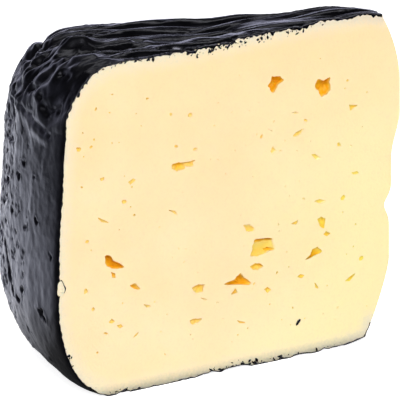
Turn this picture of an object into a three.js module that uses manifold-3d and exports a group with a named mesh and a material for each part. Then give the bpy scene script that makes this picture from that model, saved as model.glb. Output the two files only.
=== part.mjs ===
// A wedge of tomme: a twelfth of a black-waxed wheel of cow's cheese, standing on the wheel's flat underside.
// One solid of paste, with its wax coat as the outer zone of the same body. Millimetres, +Z up.
// +X runs from the waxed rim to the tip, and the better cut face looks to -Y.
// The origin is at the middle of the footprint, on the surface that the wedge stands on.

import * as THREE from 'three';
import { mergeVertices } from 'three/addons/utils/BufferGeometryUtils.js';
import Module from 'manifold-3d';

const wasm = await Module();
wasm.setup();

// The wheel that the wedge was cut from, over its wax.
const RIM_RADIUS = 113.7;
const RIM_LEAN = 3.4;
const RIM_WAIST_HEIGHT = 75;
const TOP_HEIGHT = 92.9;
const CROWN_RISE = 2.5;
const CROWN_OUTER_RADIUS = 82;
const CROWN_INNER_RADIUS = 24;
const LOWER_SHOULDER_WIDTH = 19.5;
const LOWER_SHOULDER_HEIGHT = 27;
const UPPER_SHOULDER_WIDTH = 18.6;

// The cut: two knife faces that meet in a thin upright tip.
const HALF_ANGLE = (15 * Math.PI) / 180;
const TIP_HALF_WIDTH = 0.7;
const TIP_CORNER = { depth: 6, from: 74, over: 20 };
const TIP_SETBACK = { depth: 2.9, from: 66, over: 13 };
const TIP_STEP = { depth: 0.8, from: 42, over: 6 };
const TIP_NOTCH = { depth: 2.2, z: 39.6, reach: 2.8 };
const TIP_CHAMFER = { depth: 9, height: 23.5, power: 1.3 };
const TIP_FALL = { depth: 1, length: 7 };
const TIP_HEEL = { rise: 1.4, length: 12 };

// The axis of the wheel stands here, seen from the middle of the wedge's footprint.
const WHEEL_AXIS_X = 56.67;
const WHEEL_AXIS_Y = -0.07;

// Relief of the wax: long wrinkles on top, folds round the upper shoulder, upright streaks on the rim.
// Each has its height, its length down the wedge's section and its spacing across the wedge.
const WRINKLES = { height: 0.9, length: 26, spacing: 6, seed: 1 };
const FOLDS = { height: 1.6, length: 10, spacing: 10, seed: 2 };
const STREAKS = { height: 0.7, length: 20, spacing: 7, seed: 3 };
const KNIFE_MARKS = { height: 0.3, length: 34, spacing: 16, seed: 4 };
const BENDS = { height: 4, length: 30, spacing: 20, seed: 5 };
const FOLDED_SHOULDER = { r: 104, z: 86, reach: 12 };
const WRINKLED_FROM = 80;
const WRINKLED_FULLY = 92;
const STREAKED_UP_TO = 86;
const STREAKED_FULLY = 72;
const RELIEF_AT_CUT = 0.4;
const KNIFE_SLANT = 0.33;
const CUT_ZONE = 0.2;

// Broad swells and hollows of the wheel: where each lies on the section and across the wedge
// (1 on the front cut face, -1 on the back one), how far it reaches and how high it stands.
const SWELLS = [
  { name: 'rear foot', r: 104, z: 4, across: -0.7, reach: 12, height: 0.4 },
  { name: 'front foot', r: 104, z: 5, across: 0.8, reach: 11, height: 0.9 },
  { name: 'rear fall of the foot', r: 109, z: 13, across: -1, reach: 10, height: -1.5 },
  { name: 'rear rim flat', r: 113, z: 52, across: -1, reach: 26, height: -0.7 },
  { name: 'rear shoulder fall', r: 103.5, z: 87.5, across: -1, reach: 13, height: -2.5 },
  { name: 'rear sag of the top', r: 53, z: 94, across: -1, reach: 7, height: -1.2 },
  { name: 'second sag of the top', r: 35, z: 95, across: -1, reach: 9, height: -1 },
  { name: 'crown by the tip', r: 20, z: 95, across: -0.8, reach: 9, height: 1 },
  { name: 'front shoulder swell', r: 104, z: 86, across: 0.55, reach: 9, height: 0.9 },
  { name: 'shoulder hollow', r: 107, z: 82, across: -0.15, reach: 6, height: -1.1 },
  { name: 'thumb dent on top', r: 60, z: 93, across: 0.1, reach: 8, height: -0.8 },
];

// Steps of the surface.
const COLUMNS = 26;
const CAP_RINGS = 3;
const STEPS = { top: 22, upperShoulder: 12, rim: 14, lowerShoulder: 11, base: 5, heel: 4, tip: 30 };
const FACE_MIDDLE = { r: 56, z: 47 };

// Eyes that open on the front cut face: place on the section, width, height and turn in degrees.
const FRONT_EYES = [
  { r: 42.2, z: 79.4, wide: 5.6, high: 5.2, turn: 20 },
  { r: 26.2, z: 76.8, wide: 6, high: 6.4, turn: -35 },
  { r: 73, z: 61.4, wide: 6.2, high: 2.4, turn: 0 },
  { r: 96.6, z: 37.7, wide: 5.4, high: 4.2, turn: -30 },
  { r: 92, z: 35.8, wide: 4.6, high: 1.8, turn: -20 },
  { r: 88.8, z: 29.5, wide: 3.6, high: 2.3, turn: -10 },
  { r: 47, z: 33.8, wide: 9, high: 6, turn: 10 },
  { r: 49.3, z: 28.8, wide: 5, high: 2.6, turn: 0 },
  { r: 55.1, z: 25.2, wide: 10.4, high: 3.8, turn: 12 },
  { r: 51.3, z: 40, wide: 4.2, high: 2.4, turn: 15 },
  { r: 28.4, z: 30.1, wide: 6, high: 4.6, turn: 25 },
  { r: 32.6, z: 27, wide: 5, high: 2.4, turn: 35 },
  { r: 26.2, z: 37, wide: 3, high: 3.4, turn: 0 },
  { r: 17.2, z: 20, wide: 4, high: 2.8, turn: 20 },
  { r: 68.4, z: 25.9, wide: 4.4, high: 2.8, turn: 0 },
  { r: 69.2, z: 16.3, wide: 4.4, high: 2.6, turn: 20 },
  { r: 26.9, z: 44.5, wide: 4.4, high: 2.8, turn: 0 },
  { r: 16, z: 69.3, wide: 3.4, high: 2.6, turn: 15 },
  { r: 35, z: 65.3, wide: 4, high: 2.6, turn: -10 },
  { r: 76.4, z: 47.5, wide: 3.8, high: 2.2, turn: -25 },
];

// Eyes on the back cut face, which are spread by a seeded rule over the same middle of the section.
const BACK_EYE_COUNT = 13;
const BACK_EYE_SEED = 7;
const BACK_EYE_FIELD = { rNear: 16, rFar: 98, zLow: 14, zHigh: 80 };
const BACK_EYE_WIDTHS = { least: 3.2, spread: 6 };
const BACK_EYE_FLATNESS = { least: 0.45, most: 0.85 };
const BACK_EYE_TURN = 40;
const EYE_DEPTH_SHARE = 0.75;
const EYE_TWO_LOBES = 0.16;
const EYE_THREE_LOBES = 0.2;
const LARGE_EYE_WIDTH = 5.5;

const PASTE_COLOUR = 0xfdebb9;
const PASTE_ROUGHNESS = 0.55;

const { degToRad, lerp } = THREE.MathUtils;

const smooth = (x) => {
  const held = Math.min(1, Math.max(0, x));
  return held * held * (3 - 2 * held);
};

// A fixed scatter of numbers from 0 to 1, one for each whole pair and seed.
function scatter(i, j, seed) {
  const raw = Math.sin(i * 127.1 + j * 311.7 + seed * 74.7) * 43758.5453;
  return raw - Math.floor(raw);
}

// Smooth noise from -1 to 1 on a unit lattice of scattered values.
function noise(a, b, seed) {
  const i = Math.floor(a);
  const j = Math.floor(b);
  const u = smooth(a - i);
  const v = smooth(b - j);
  const low = lerp(scatter(i, j, seed), scatter(i + 1, j, seed), u);
  const high = lerp(scatter(i, j + 1, seed), scatter(i + 1, j + 1, seed), u);
  return 2 * lerp(low, high, v) - 1;
}

// Height of the waxed top: level near the rim, gently crowned towards the tip, with a short fall at the tip.
function topHeight(r) {
  const share = (CROWN_OUTER_RADIUS - r) / (CROWN_OUTER_RADIUS - CROWN_INNER_RADIUS);
  const nearTip = Math.max(0, 1 - (r - TIP_CORNER.depth) / TIP_FALL.length);
  return TOP_HEIGHT + CROWN_RISE * smooth(share) - TIP_FALL.depth * nearTip ** 2;
}

// Radius of the rim between its two shoulders: a slight inward lean above the widest place.
function rimRadius(z) {
  const share = (z - LOWER_SHOULDER_HEIGHT) / (RIM_WAIST_HEIGHT - LOWER_SHOULDER_HEIGHT);
  return RIM_RADIUS - RIM_LEAN * Math.pow(Math.max(0, share), 1.6);
}

// Height of the underside: flat, and turned up in a small heel at the tip.
function baseHeight(r) {
  const foot = tipRadius(0);
  return TIP_HEEL.rise * Math.max(0, 1 - (r - foot) / TIP_HEEL.length) ** 2;
}

// Radius of the tip's upright edge: set back in two steps with a notch at the lower one, chamfered at the foot
// and rounded at the top.
function tipRadius(z) {
  const setback = TIP_SETBACK.depth * smooth((TIP_SETBACK.from - z) / TIP_SETBACK.over)
    + TIP_STEP.depth * smooth((TIP_STEP.from - z) / TIP_STEP.over);
  const notch = TIP_NOTCH.depth * Math.exp(-(((z - TIP_NOTCH.z) / TIP_NOTCH.reach) ** 2));
  const chamfer = TIP_CHAMFER.depth * Math.max(0, 1 - z / TIP_CHAMFER.height) ** TIP_CHAMFER.power;
  const corner = TIP_CORNER.depth * Math.max(0, (z - TIP_CORNER.from) / TIP_CORNER.over) ** 2;
  return setback + notch + chamfer + corner;
}

// One stretch of the outline: its points at even steps, without the last, which begins the next stretch.
function stretch(steps, at, waxed) {
  return Array.from({ length: steps }, (_, k) => ({ ...at(k / steps), waxed }));
}

// The wedge's upright section, from the tip's top corner over the top, down the rim and back along the base.
function sectionOutline() {
  const topEnd = RIM_RADIUS - RIM_LEAN - UPPER_SHOULDER_WIDTH;
  const upperHeight = TOP_HEIGHT - RIM_WAIST_HEIGHT;
  const baseEnd = RIM_RADIUS - LOWER_SHOULDER_WIDTH;
  const foot = tipRadius(0);
  const heelEnd = foot + TIP_HEEL.length;
  const quarter = Math.PI / 2;
  return [
    ...stretch(STEPS.top, (u) => {
      const r = lerp(TIP_CORNER.depth, topEnd, u);
      return { r, z: topHeight(r) };
    }, true),
    ...stretch(STEPS.upperShoulder, (u) => ({
      r: topEnd + UPPER_SHOULDER_WIDTH * Math.sin(u * quarter),
      z: RIM_WAIST_HEIGHT + upperHeight * Math.cos(u * quarter),
    }), true),
    ...stretch(STEPS.rim, (u) => {
      const z = lerp(RIM_WAIST_HEIGHT, LOWER_SHOULDER_HEIGHT, u);
      return { r: rimRadius(z), z };
    }, true),
    ...stretch(STEPS.lowerShoulder, (u) => ({
      r: baseEnd + LOWER_SHOULDER_WIDTH * Math.cos(u * quarter),
      z: LOWER_SHOULDER_HEIGHT * (1 - Math.sin(u * quarter)),
    }), true),
    ...stretch(STEPS.base, (u) => {
      const r = lerp(baseEnd, heelEnd, u);
      return { r, z: 0 };
    }, false),
    ...stretch(STEPS.heel, (u) => {
      const r = lerp(heelEnd, foot, u);
      return { r, z: baseHeight(r) };
    }, false),
    ...stretch(STEPS.tip, (u) => {
      const z = lerp(TIP_HEEL.rise, topHeight(TIP_CORNER.depth), u);
      return { r: tipRadius(z), z };
    }, false),
  ];
}

// A point of the wedge from its section place and its share across the wedge.
function placed(r, z, across) {
  const turn = across * HALF_ANGLE;
  const x = WHEEL_AXIS_X - r * Math.cos(turn);
  const y = WHEEL_AXIS_Y - r * Math.sin(turn) - across * TIP_HALF_WIDTH;
  return new THREE.Vector3(x, y, z);
}

// One kind of relief: noise stretched down the section and across the wedge.
function reliefOf(kind, along, lateral) {
  return kind.height * noise(along / kind.length, lateral / kind.spacing, kind.seed);
}

// The broad swells at a place: each is highest at its middle and dies away round it.
function swellAt(r, z, across) {
  const here = placed(r, z, across);
  return SWELLS.reduce((sum, lump) => {
    const distance = here.distanceTo(placed(lump.r, lump.z, lump.across)) / lump.reach;
    return sum + lump.height * Math.exp(-distance * distance);
  }, 0);
}

// How far the wax stands out of the plain section. It is calmer beside the cuts, where the knife held it.
function waxRelief({ r, z, along }, across) {
  const lateral = r * across * HALF_ANGLE;
  const bend = reliefOf(BENDS, along, lateral);
  const onTop = smooth((z - WRINKLED_FROM) / (WRINKLED_FULLY - WRINKLED_FROM));
  const aboveFoot = smooth(z / LOWER_SHOULDER_HEIGHT);
  const onRim = aboveFoot * smooth((STREAKED_UP_TO - z) / (STREAKED_UP_TO - STREAKED_FULLY));
  const fromShoulder = Math.hypot(r - FOLDED_SHOULDER.r, z - FOLDED_SHOULDER.z) / FOLDED_SHOULDER.reach;
  const onShoulder = Math.exp(-(fromShoulder ** 2));
  const fine = onTop * reliefOf(WRINKLES, along, lateral + bend)
    + onShoulder * reliefOf(FOLDS, along + lateral, lateral)
    + onRim * reliefOf(STREAKS, along, lateral);
  const calm = lerp(1, RELIEF_AT_CUT, across ** 4);
  const tipFade = smooth(r / CROWN_INNER_RADIUS);
  return tipFade * (calm * fine + swellAt(r, z, across));
}

// The outline with its running length and its outward direction at every point.
function measuredOutline() {
  const outline = sectionOutline();
  let along = 0;
  return outline.map((point, k) => {
    const before = outline[(k + outline.length - 1) % outline.length];
    const after = outline[(k + 1) % outline.length];
    along += k === 0 ? 0 : Math.hypot(point.r - before.r, point.z - before.z);
    const run = new THREE.Vector2(after.r - before.r, after.z - before.z).normalize();
    return { ...point, along, outR: -run.y, outZ: run.x };
  });
}

// The section at a share across the wedge, with its relief. Nothing reaches below the surface it stands on.
function reliefSection(outline, across) {
  return outline.map((point) => {
    const relief = point.waxed ? waxRelief(point, across) : 0;
    return { r: point.r + relief * point.outR, z: Math.max(0, point.z + relief * point.outZ) };
  });
}

// A ring of a cut face: its outline drawn in towards the face's middle.
function faceRing(edge, share) {
  return edge.map(({ r, z }) => ({ r: lerp(FACE_MIDDLE.r, r, share), z: lerp(FACE_MIDDLE.z, z, share) }));
}

// All rings of points in order: out over the back face, across the wedge, and in over the front face.
function bodyRings() {
  const outline = measuredOutline();
  const shares = Array.from({ length: CAP_RINGS - 1 }, (_, k) => (k + 1) / CAP_RINGS);
  const sweep = Array.from({ length: COLUMNS + 1 }, (_, k) => -1 + (2 * k) / COLUMNS);
  const sections = sweep.map((across) => ({ across, points: reliefSection(outline, across) }));
  const backEdge = sections[0].points;
  const frontEdge = sections[COLUMNS].points;
  return [
    { across: -1, points: [FACE_MIDDLE] },
    ...shares.map((share) => ({ across: -1, points: faceRing(backEdge, share) })),
    ...sections,
    ...shares.reverse().map((share) => ({ across: 1, points: faceRing(frontEdge, share) })),
    { across: 1, points: [FACE_MIDDLE] },
  ];
}

// A point of a ring in space, with the slow waves that the knife leaves beside and in the cut faces.
function ringPoint({ r, z }, across) {
  const side = Math.sign(across);
  const nearCut = smooth((Math.abs(across) - 1) / CUT_ZONE + 1);
  const wave = reliefOf(KNIFE_MARKS, r + side * KNIFE_MARKS.length, z + KNIFE_SLANT * r);
  const at = placed(r, z, across);
  at.y -= side * nearCut * smooth(r / CROWN_INNER_RADIUS) * wave;
  return at;
}

// The closed surface of the uncut body: two triangles between neighbouring points of each two rings,
// and one where a ring is a single point.
function bodyGeometry() {
  const rings = bodyRings();
  const places = rings.flatMap(({ across, points }) => points.map((point) => ringPoint(point, across)));
  const positions = places.flatMap((place) => place.toArray());
  const faces = [];
  let start = 0;
  for (let ring = 0; ring + 1 < rings.length; ring += 1) {
    const size = rings[ring].points.length;
    const nextSize = rings[ring + 1].points.length;
    for (let k = 0; k < Math.max(size, nextSize); k += 1) {
      const here = start + (k % size);
      const hereNext = start + ((k + 1) % size);
      const there = start + size + (k % nextSize);
      const thereNext = start + size + ((k + 1) % nextSize);
      if (size > 1) faces.push(here, there, hereNext);
      if (nextSize > 1) faces.push(hereNext, there, thereNext);
    }
    start += size;
  }
  const geometry = new THREE.BufferGeometry();
  geometry.setAttribute('position', new THREE.Float32BufferAttribute(positions, 3));
  geometry.setIndex(faces);
  return geometry;
}

// One eye: a ball squashed to the eye's width, height and depth, pulled into uneven angular lobes,
// with its middle on the cut face, so that half of it bites into the paste.
function eyeGeometry(eye, side, seed) {
  const detail = eye.wide > LARGE_EYE_WIDTH ? 2 : 1;
  const ball = new THREE.IcosahedronGeometry(1, detail);
  ball.deleteAttribute('normal');
  ball.deleteAttribute('uv');
  const geometry = mergeVertices(ball);
  const place = geometry.attributes.position;
  const depth = EYE_DEPTH_SHARE * Math.sqrt(eye.wide * eye.high);
  const turn = degToRad(eye.turn);
  const wave = (k) => 2 * Math.PI * scatter(seed, k, side);
  for (let k = 0; k < place.count; k += 1) {
    const way = new THREE.Vector3().fromBufferAttribute(place, k);
    const angle = Math.atan2(way.z, way.x);
    const lobes = 1 + EYE_TWO_LOBES * Math.cos(2 * angle + wave(1))
      + EYE_THREE_LOBES * Math.cos(3 * angle + wave(2));
    const flat = Math.hypot(way.x, way.z);
    const reach = lerp(1, lobes, flat);
    const wide = (way.x * reach * eye.wide) / 2;
    const high = (way.z * reach * eye.high) / 2;
    const r = eye.r - wide * Math.cos(turn) - high * Math.sin(turn);
    const z = eye.z - wide * Math.sin(turn) + high * Math.cos(turn);
    const at = placed(r, z, side);
    const outward = way.y * reach * depth;
    at.x += outward * Math.sin(HALF_ANGLE);
    at.y -= side * outward * Math.cos(HALF_ANGLE);
    place.setXYZ(k, at.x, at.y, at.z);
  }
  return geometry;
}

// The back face's eyes: many small ones and a few large ones, kept clear of each other.
function backEyes() {
  const { rNear, rFar, zLow, zHigh } = BACK_EYE_FIELD;
  const eyes = [];
  for (let tried = 0; eyes.length < BACK_EYE_COUNT; tried += 1) {
    const draw = (k) => scatter(tried, k, BACK_EYE_SEED);
    const wide = BACK_EYE_WIDTHS.least + BACK_EYE_WIDTHS.spread * draw(1) ** 3;
    const eye = {
      r: lerp(rNear, rFar, draw(2)),
      z: lerp(zLow, zHigh, draw(3)),
      wide,
      high: wide * lerp(BACK_EYE_FLATNESS.least, BACK_EYE_FLATNESS.most, draw(4)),
      turn: lerp(-BACK_EYE_TURN, BACK_EYE_TURN, draw(5)),
    };
    const gapTo = (other) => Math.hypot(other.r - eye.r, other.z - eye.z) - other.wide - eye.wide;
    if (eyes.every((other) => gapTo(other) > 0)) eyes.push(eye);
  }
  return eyes;
}

// A geometry as a closed solid, turned right side out if its faces run the other way.
function solidOf(geometry) {
  const vertProperties = Float32Array.from(geometry.attributes.position.array);
  const triVerts = Uint32Array.from(geometry.index.array);
  const a = new THREE.Vector3();
  const b = new THREE.Vector3();
  const c = new THREE.Vector3();
  let volume = 0;
  for (let k = 0; k < triVerts.length; k += 3) {
    a.fromArray(vertProperties, 3 * triVerts[k]);
    b.fromArray(vertProperties, 3 * triVerts[k + 1]);
    c.fromArray(vertProperties, 3 * triVerts[k + 2]);
    volume += a.dot(b.cross(c)) / 6;
  }
  if (volume < 0) triVerts.reverse();
  return new wasm.Manifold(new wasm.Mesh({ numProp: 3, vertProperties, triVerts }));
}

function geometryOf(solid) {
  const mesh = solid.getMesh();
  const geometry = new THREE.BufferGeometry();
  geometry.setAttribute('position', new THREE.BufferAttribute(Float32Array.from(mesh.vertProperties), 3));
  geometry.setIndex(new THREE.BufferAttribute(Uint32Array.from(mesh.triVerts), 1));
  geometry.computeVertexNormals();
  return geometry;
}

// The wedge with its eyes bitten out of both cut faces.
function tommeWedge() {
  const cutters = [
    ...FRONT_EYES.map((eye, k) => eyeGeometry(eye, 1, k + 1)),
    ...backEyes().map((eye, k) => eyeGeometry(eye, -1, k + 1)),
  ];
  const bitten = cutters.reduce((body, cutter) => body.subtract(solidOf(cutter)), solidOf(bodyGeometry()));
  const paste = new THREE.MeshStandardMaterial({ color: PASTE_COLOUR, roughness: PASTE_ROUGHNESS });
  paste.metalness = 0;
  const mesh = new THREE.Mesh(geometryOf(bitten), paste);
  mesh.name = 'tomme_wedge';
  return mesh;
}

const tomme = new THREE.Group();
tomme.name = 'tomme';
tomme.add(tommeWedge());

export default tomme;
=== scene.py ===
"""The looks of a wedge of black-waxed tomme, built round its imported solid.

The wedge is a twelfth of a wheel. Every shape is worked out in millimetres on the wheel's own terms:
r is the distance from the wheel's upright axis, and z the height above the surface that the wedge stands on.
along is the running length of the section's outline, from the tip's top corner over the top and down the rim.
lateral is the distance from the wedge's middle plane, and across the same as a share of the half width: 1 on
the front cut face and -1 on the back one. Meshes are written in metres, in the frame of the solid.
"""

import math

import bpy
import numpy as np
from bpy.props import (
    FloatProperty,
    FloatVectorProperty,
    IntProperty,
    PointerProperty,
)
from mathutils import Matrix, Vector


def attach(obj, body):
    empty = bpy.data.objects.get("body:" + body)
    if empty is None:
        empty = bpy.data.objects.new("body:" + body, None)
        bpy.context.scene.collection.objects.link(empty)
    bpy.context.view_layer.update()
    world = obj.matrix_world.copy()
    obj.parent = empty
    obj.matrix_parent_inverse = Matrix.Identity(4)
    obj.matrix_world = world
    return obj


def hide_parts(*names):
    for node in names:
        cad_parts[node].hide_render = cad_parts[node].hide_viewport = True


bl_info = {
    "name": "Tomme wedge",
    "version": (1, 0, 0),
    "blender": (4, 5, 0),
    "location": "3D View > Sidebar > Tomme",
    "description": "Builds the paste, the wax coat and the crumbs of a cut wedge of tomme",
    "category": "Mesh",
}

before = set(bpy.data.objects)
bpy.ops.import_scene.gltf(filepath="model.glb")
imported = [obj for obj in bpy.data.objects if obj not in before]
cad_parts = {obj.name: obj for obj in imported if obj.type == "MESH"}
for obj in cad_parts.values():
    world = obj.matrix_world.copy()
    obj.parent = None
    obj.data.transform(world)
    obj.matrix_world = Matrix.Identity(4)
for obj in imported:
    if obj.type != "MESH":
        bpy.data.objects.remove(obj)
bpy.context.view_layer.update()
NODE = "tomme_wedge"
BODY = "root"
MM = 0.001

# The plain form of the wedge, the same as that of its solid.
HALF_ANGLE = math.radians(15)
TIP_HALF_WIDTH = 0.7
WHEEL_AXIS = (56.67, -0.07)
CROWN = {"rise": 2.5, "outer": 82.0, "inner": 24.0}
RIM = {"radius": 113.7, "lean": 3.4, "waist": 75.0, "power": 1.6}
TOP_HEIGHT = 92.9
LOWER_SHOULDER = {"width": 19.5, "height": 27.0}
UPPER_SHOULDER_WIDTH = 18.6
TIP_CORNER = {"depth": 6.0, "start": 74.0, "over": 20.0}
TIP_SETBACK = {"depth": 2.9, "start": 66.0, "over": 13.0}
TIP_STEP = {"depth": 0.8, "start": 42.0, "over": 6.0}
TIP_NOTCH = {"depth": 2.2, "z": 39.6, "reach": 2.8}
TIP_CHAMFER = {"depth": 9.0, "height": 23.5, "power": 1.3}
TIP_FALL = {"depth": 1.0, "length": 7.0}
TIP_HEEL = {"rise": 1.4, "length": 12.0}
# The place that a cut face's rings are drawn in to, and how far up the tip's edge the wax reaches.
FACE_MIDDLE = (56.0, 47.0)
WAX_LIP = 5.5

# Relief that the solid already has: height, length down the section, spacing across and seed.
WRINKLES = (0.9, 26.0, 6.0, 1)
FOLDS = (1.6, 10.0, 10.0, 2)
STREAKS = (0.7, 20.0, 7.0, 3)
KNIFE_MARKS = (0.3, 34.0, 16.0, 4)
BENDS = (4.0, 30.0, 20.0, 5)
FOLDED_SHOULDER = {"r": 104.0, "z": 86.0, "reach": 12.0}
WRINKLED = (80.0, 92.0)
STREAKED = (86.0, 72.0)
RELIEF_AT_CUT = 0.4
KNIFE_SLANT = 0.33
CUT_ZONE = 0.2
# Broad swells: r, z, across, reach and height.
SWELLS = (
    (104, 4, -0.7, 12, 0.4),
    (104, 5, 0.8, 11, 0.9),
    (109, 13, -1.0, 10, -1.5),
    (113, 52, -1.0, 26, -0.7),
    (103.5, 87.5, -1.0, 13, -2.5),
    (53, 94, -1.0, 7, -1.2),
    (35, 95, -1.0, 9, -1.0),
    (20, 95, -0.8, 9, 1.0),
    (104, 86, 0.55, 9, 0.9),
    (107, 82, -0.15, 6, -1.1),
    (60, 93, 0.1, 8, -0.8),
)

# Eyes of the front face: r, z, depth, and corners as pairs of bearing and distance from the middle.
# A bearing of 0 points to the tip and 90 points up. Straight edges join the corners.
FRONT_EYES = (
    (42.3, 79.9, 2.6, ((-165, 2.6), (-146, 2.2), (-117, 2.7), (-92, 2.6), (-31, 1.2), (6, 3.0), (37, 2.7),
                       (116, 2.3), (154, 1.7))),
    (26.1, 76.6, 2.6, ((-156, 2.1), (-107, 2.9), (-82, 2.6), (-27, 2.9), (21, 2.2), (45, 3.6), (89, 1.8),
                       (131, 3.3), (168, 3.2))),
    (74.4, 61.2, 1.5, ((-172, 2.0), (-110, 1.4), (-20, 2.7), (20, 2.4), (95, 1.2), (160, 2.4))),
    (71.0, 61.3, 1.0, ((-172, 2.4), (-60, 0.9), (-14, 2.1), (4, 1.3), (22, 2.9), (60, 0.9), (155, 1.8))),
    (95.5, 37.3, 2.3, ((-170, 2.2), (-97, 1.5), (-37, 2.8), (-30, 4.9), (-20, 3.3), (-2, 1.6), (98, 0.9),
                       (106, 2.4), (137, 3.9), (162, 2.9))),
    (95.6, 34.0, 1.1, ((-120, 0.7), (-50, 1.0), (32, 0.6), (123, 1.2))),
    (88.7, 29.6, 1.3, ((-123, 0.6), (-34, 2.2), (87, 0.9), (158, 1.9))),
    (47.1, 34.0, 0.95, ((-177, 3.2), (-152, 5.0), (-94, 2.3), (-31, 3.1), (-18, 4.8), (-2, 3.9), (33, 3.9),
                       (135, 3.7), (155, 3.5))),
    (46.8, 35.8, 1.7, ((-172, 3.1), (-118, 0.5), (-11, 3.3), (6, 3.0), (110, 0.6), (167, 2.8))),
    (49.0, 28.6, 1.2, ((-153, 1.6), (-64, 1.3), (-8, 2.3), (23, 1.7), (123, 1.3), (169, 2.3))),
    (45.2, 33.0, 1.5, ((-169, 1.5), (-36, 1.0), (-10, 2.7), (77, 0.7), (164, 2.3))),
    (55.1, 25.4, 2.1, ((-180, 5.7), (-167, 2.7), (-60, 1.2), (-22, 5.6), (24, 2.2), (78, 2.4), (156, 1.7))),
    (56.4, 22.6, 1.0, ((-153, 1.3), (-25, 1.0), (71, 1.1), (148, 0.5))),
    (51.4, 40.1, 0.8, ((-136, 1.1), (-43, 1.7), (-9, 1.8), (85, 1.0), (146, 2.1))),
    (36.0, 39.1, 0.7, ((-177, 1.5), (-50, 0.7), (30, 1.2))),
    (26.7, 37.8, 1.0, ((-114, 1.5), (-70, 1.9), (33, 1.2), (101, 1.5), (145, 2.0))),
    (25.2, 34.1, 0.9, ((-180, 1.1), (-80, 0.7), (-5, 1.2), (105, 0.8))),
    (29.5, 29.2, 1.5, ((-167, 1.3), (-155, 5.1), (-81, 0.8), (-1, 3.0), (24, 2.3), (59, 1.9), (123, 1.4))),
    (45.3, 21.2, 0.7, ((-94, 0.9), (-9, 1.1), (93, 0.8), (164, 1.1))),
    (28.8, 19.4, 0.6, ((-123, 0.5), (-47, 1.2), (41, 0.3), (115, 1.4))),
    (17.2, 19.8, 0.8, ((-163, 2.0), (-104, 1.0), (-18, 0.7), (33, 2.5), (141, 0.5))),
    (68.3, 25.6, 1.2, ((-126, 1.4), (-39, 1.6), (21, 2.0), (100, 1.1), (168, 2.2))),
    (66.6, 22.3, 0.6, ((-69, 0.4), (-18, 1.5), (153, 1.8))),
    (69.5, 16.4, 0.9, ((-134, 1.4), (-30, 1.1), (5, 2.8), (112, 0.9), (165, 2.2))),
    (54.2, 13.4, 0.6, ((-147, 0.5), (-15, 2.1), (152, 1.8))),
    (16.3, 69.4, 0.8, ((-121, 1.4), (-24, 0.6), (4, 2.3), (146, 1.5))),
    (34.8, 64.6, 0.9, ((-165, 2.1), (-124, 1.1), (-7, 1.1), (30, 2.1), (134, 0.6))),
    (85.0, 23.5, 0.6, ((-101, 0.5), (-9, 1.4), (151, 1.4))),
    (98.6, 49.8, 0.5, ((-150, 0.6), (-90, 0.5), (-24, 2.7), (45, 0.3), (100, 0.3), (141, 2.7))),
    (76.0, 48.6, 0.6, ((-97, 0.3), (-45, 2.0), (22, 0.7), (152, 2.4))),
    (27.5, 43.9, 0.7, ((-59, 0.8), (-3, 2.0), (111, 0.7), (173, 2.1))),
    (28.8, 57.0, 0.6, ((-84, 0.9), (-23, 1.8), (106, 0.8), (151, 1.8))),
    (43.2, 61.0, 0.6, ((-172, 0.8), (-104, 1.2), (-14, 1.0), (93, 1.3))),
    (15.4, 50.2, 0.5, ((-133, 0.6), (-17, 1.3), (31, 0.8), (168, 1.4))),
    (34.0, 23.2, 0.6, ((-180, 1.2), (-74, 0.6), (0, 1.2), (106, 0.6))),
    (96.4, 21.1, 0.5, ((-173, 1.0), (-91, 0.6), (-10, 1.0), (89, 0.7))),
    (93.8, 19.3, 0.5, ((-109, 0.6), (-20, 0.9), (58, 0.6), (162, 1.0))),
    (88.7, 15.9, 0.4, ((-147, 1.3), (-47, 0.3), (39, 1.2), (108, 0.3))),
    (35.7, 70.6, 0.4, ((-129, 0.3), (-14, 1.3), (45, 0.4), (170, 1.4))),
    (89.2, 59.3, 0.4, ((-120, 0.9), (10, 1.2), (61, 0.8), (179, 1.1))),
)
# Scattered eyes: how many, their seed, where, their least and most width, and the power that keeps most
# of them small.
BACK_EYES = {
    "count": 34, "seed": 11, "r": (16.0, 98.0), "z": (14.0, 80.0), "least": 1.4, "most": 8.5, "rarity": 3,
}
PINHOLES = {
    "count": 110, "seed": 23, "r": (10.0, 106.0), "z": (8.0, 86.0), "least": 0.6, "most": 1.8, "rarity": 3,
}
# Their shape: flatness, mean and spread of the turn in degrees, number of corners, how far these stray in
# degrees, unevenness, depth as a share of the width to a power, how far apart they lie as a share of their
# widths, and the width of an eye that is already there as a share of its farthest corner.
SCATTERED = {
    "thin": (0.35, 0.85), "turn": (15, 30), "corners": (5, 9), "stray": 250, "uneven": (0.65, 1.35),
    "depth": (0.28, 0.42), "depth_power": 0.9, "apart": 0.7, "taken": 1.2,
}
# How an eye departs from its corners. Its outline is softened over a few degrees and rippled, small ones
# swell, its walls are steep and uneven, and its floor leans and is lumpy.
EYE_SHAPE = {
    "soften": 4.5, "small": 2.3, "swell": 1.12, "ripples": (0.05, 0.035), "uneven": 0.1, "steep": 0.72,
    "lean": 0.3, "lumps": (0.22, 0.12),
}
# Points round and down an eye, a pinhole, a crumb and the flake.
EYE_STEPS = (44, 18)
PINHOLE_STEPS = (14, 9)
CRUMB_STEPS = (9, 7)
FLAKE_STEPS = (22, 10)

# Clusters of wax crumbs: middle and spread along the section, share of all crumbs, and reach inwards.
CRUMB_CLUSTERS = (
    (34.0, 3.5, 6, 2.6), (41.0, 2.0, 3, 3.2), (50.0, 3.5, 5, 3.0), (60.0, 4.0, 4, 3.0),
    (24.0, 4.0, 3, 2.2), (72.0, 8.0, 2, 0.8), (92.0, 6.0, 2, 0.6), (178.0, 1.5, 1, 1.0),
    (199.0, 4.0, 2, 1.0), (232.0, 3.0, 3, 1.4), (241.0, 4.0, 5, 1.8), (252.0, 3.0, 3, 1.2),
    (268.0, 8.0, 1, 0.7),
)
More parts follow.
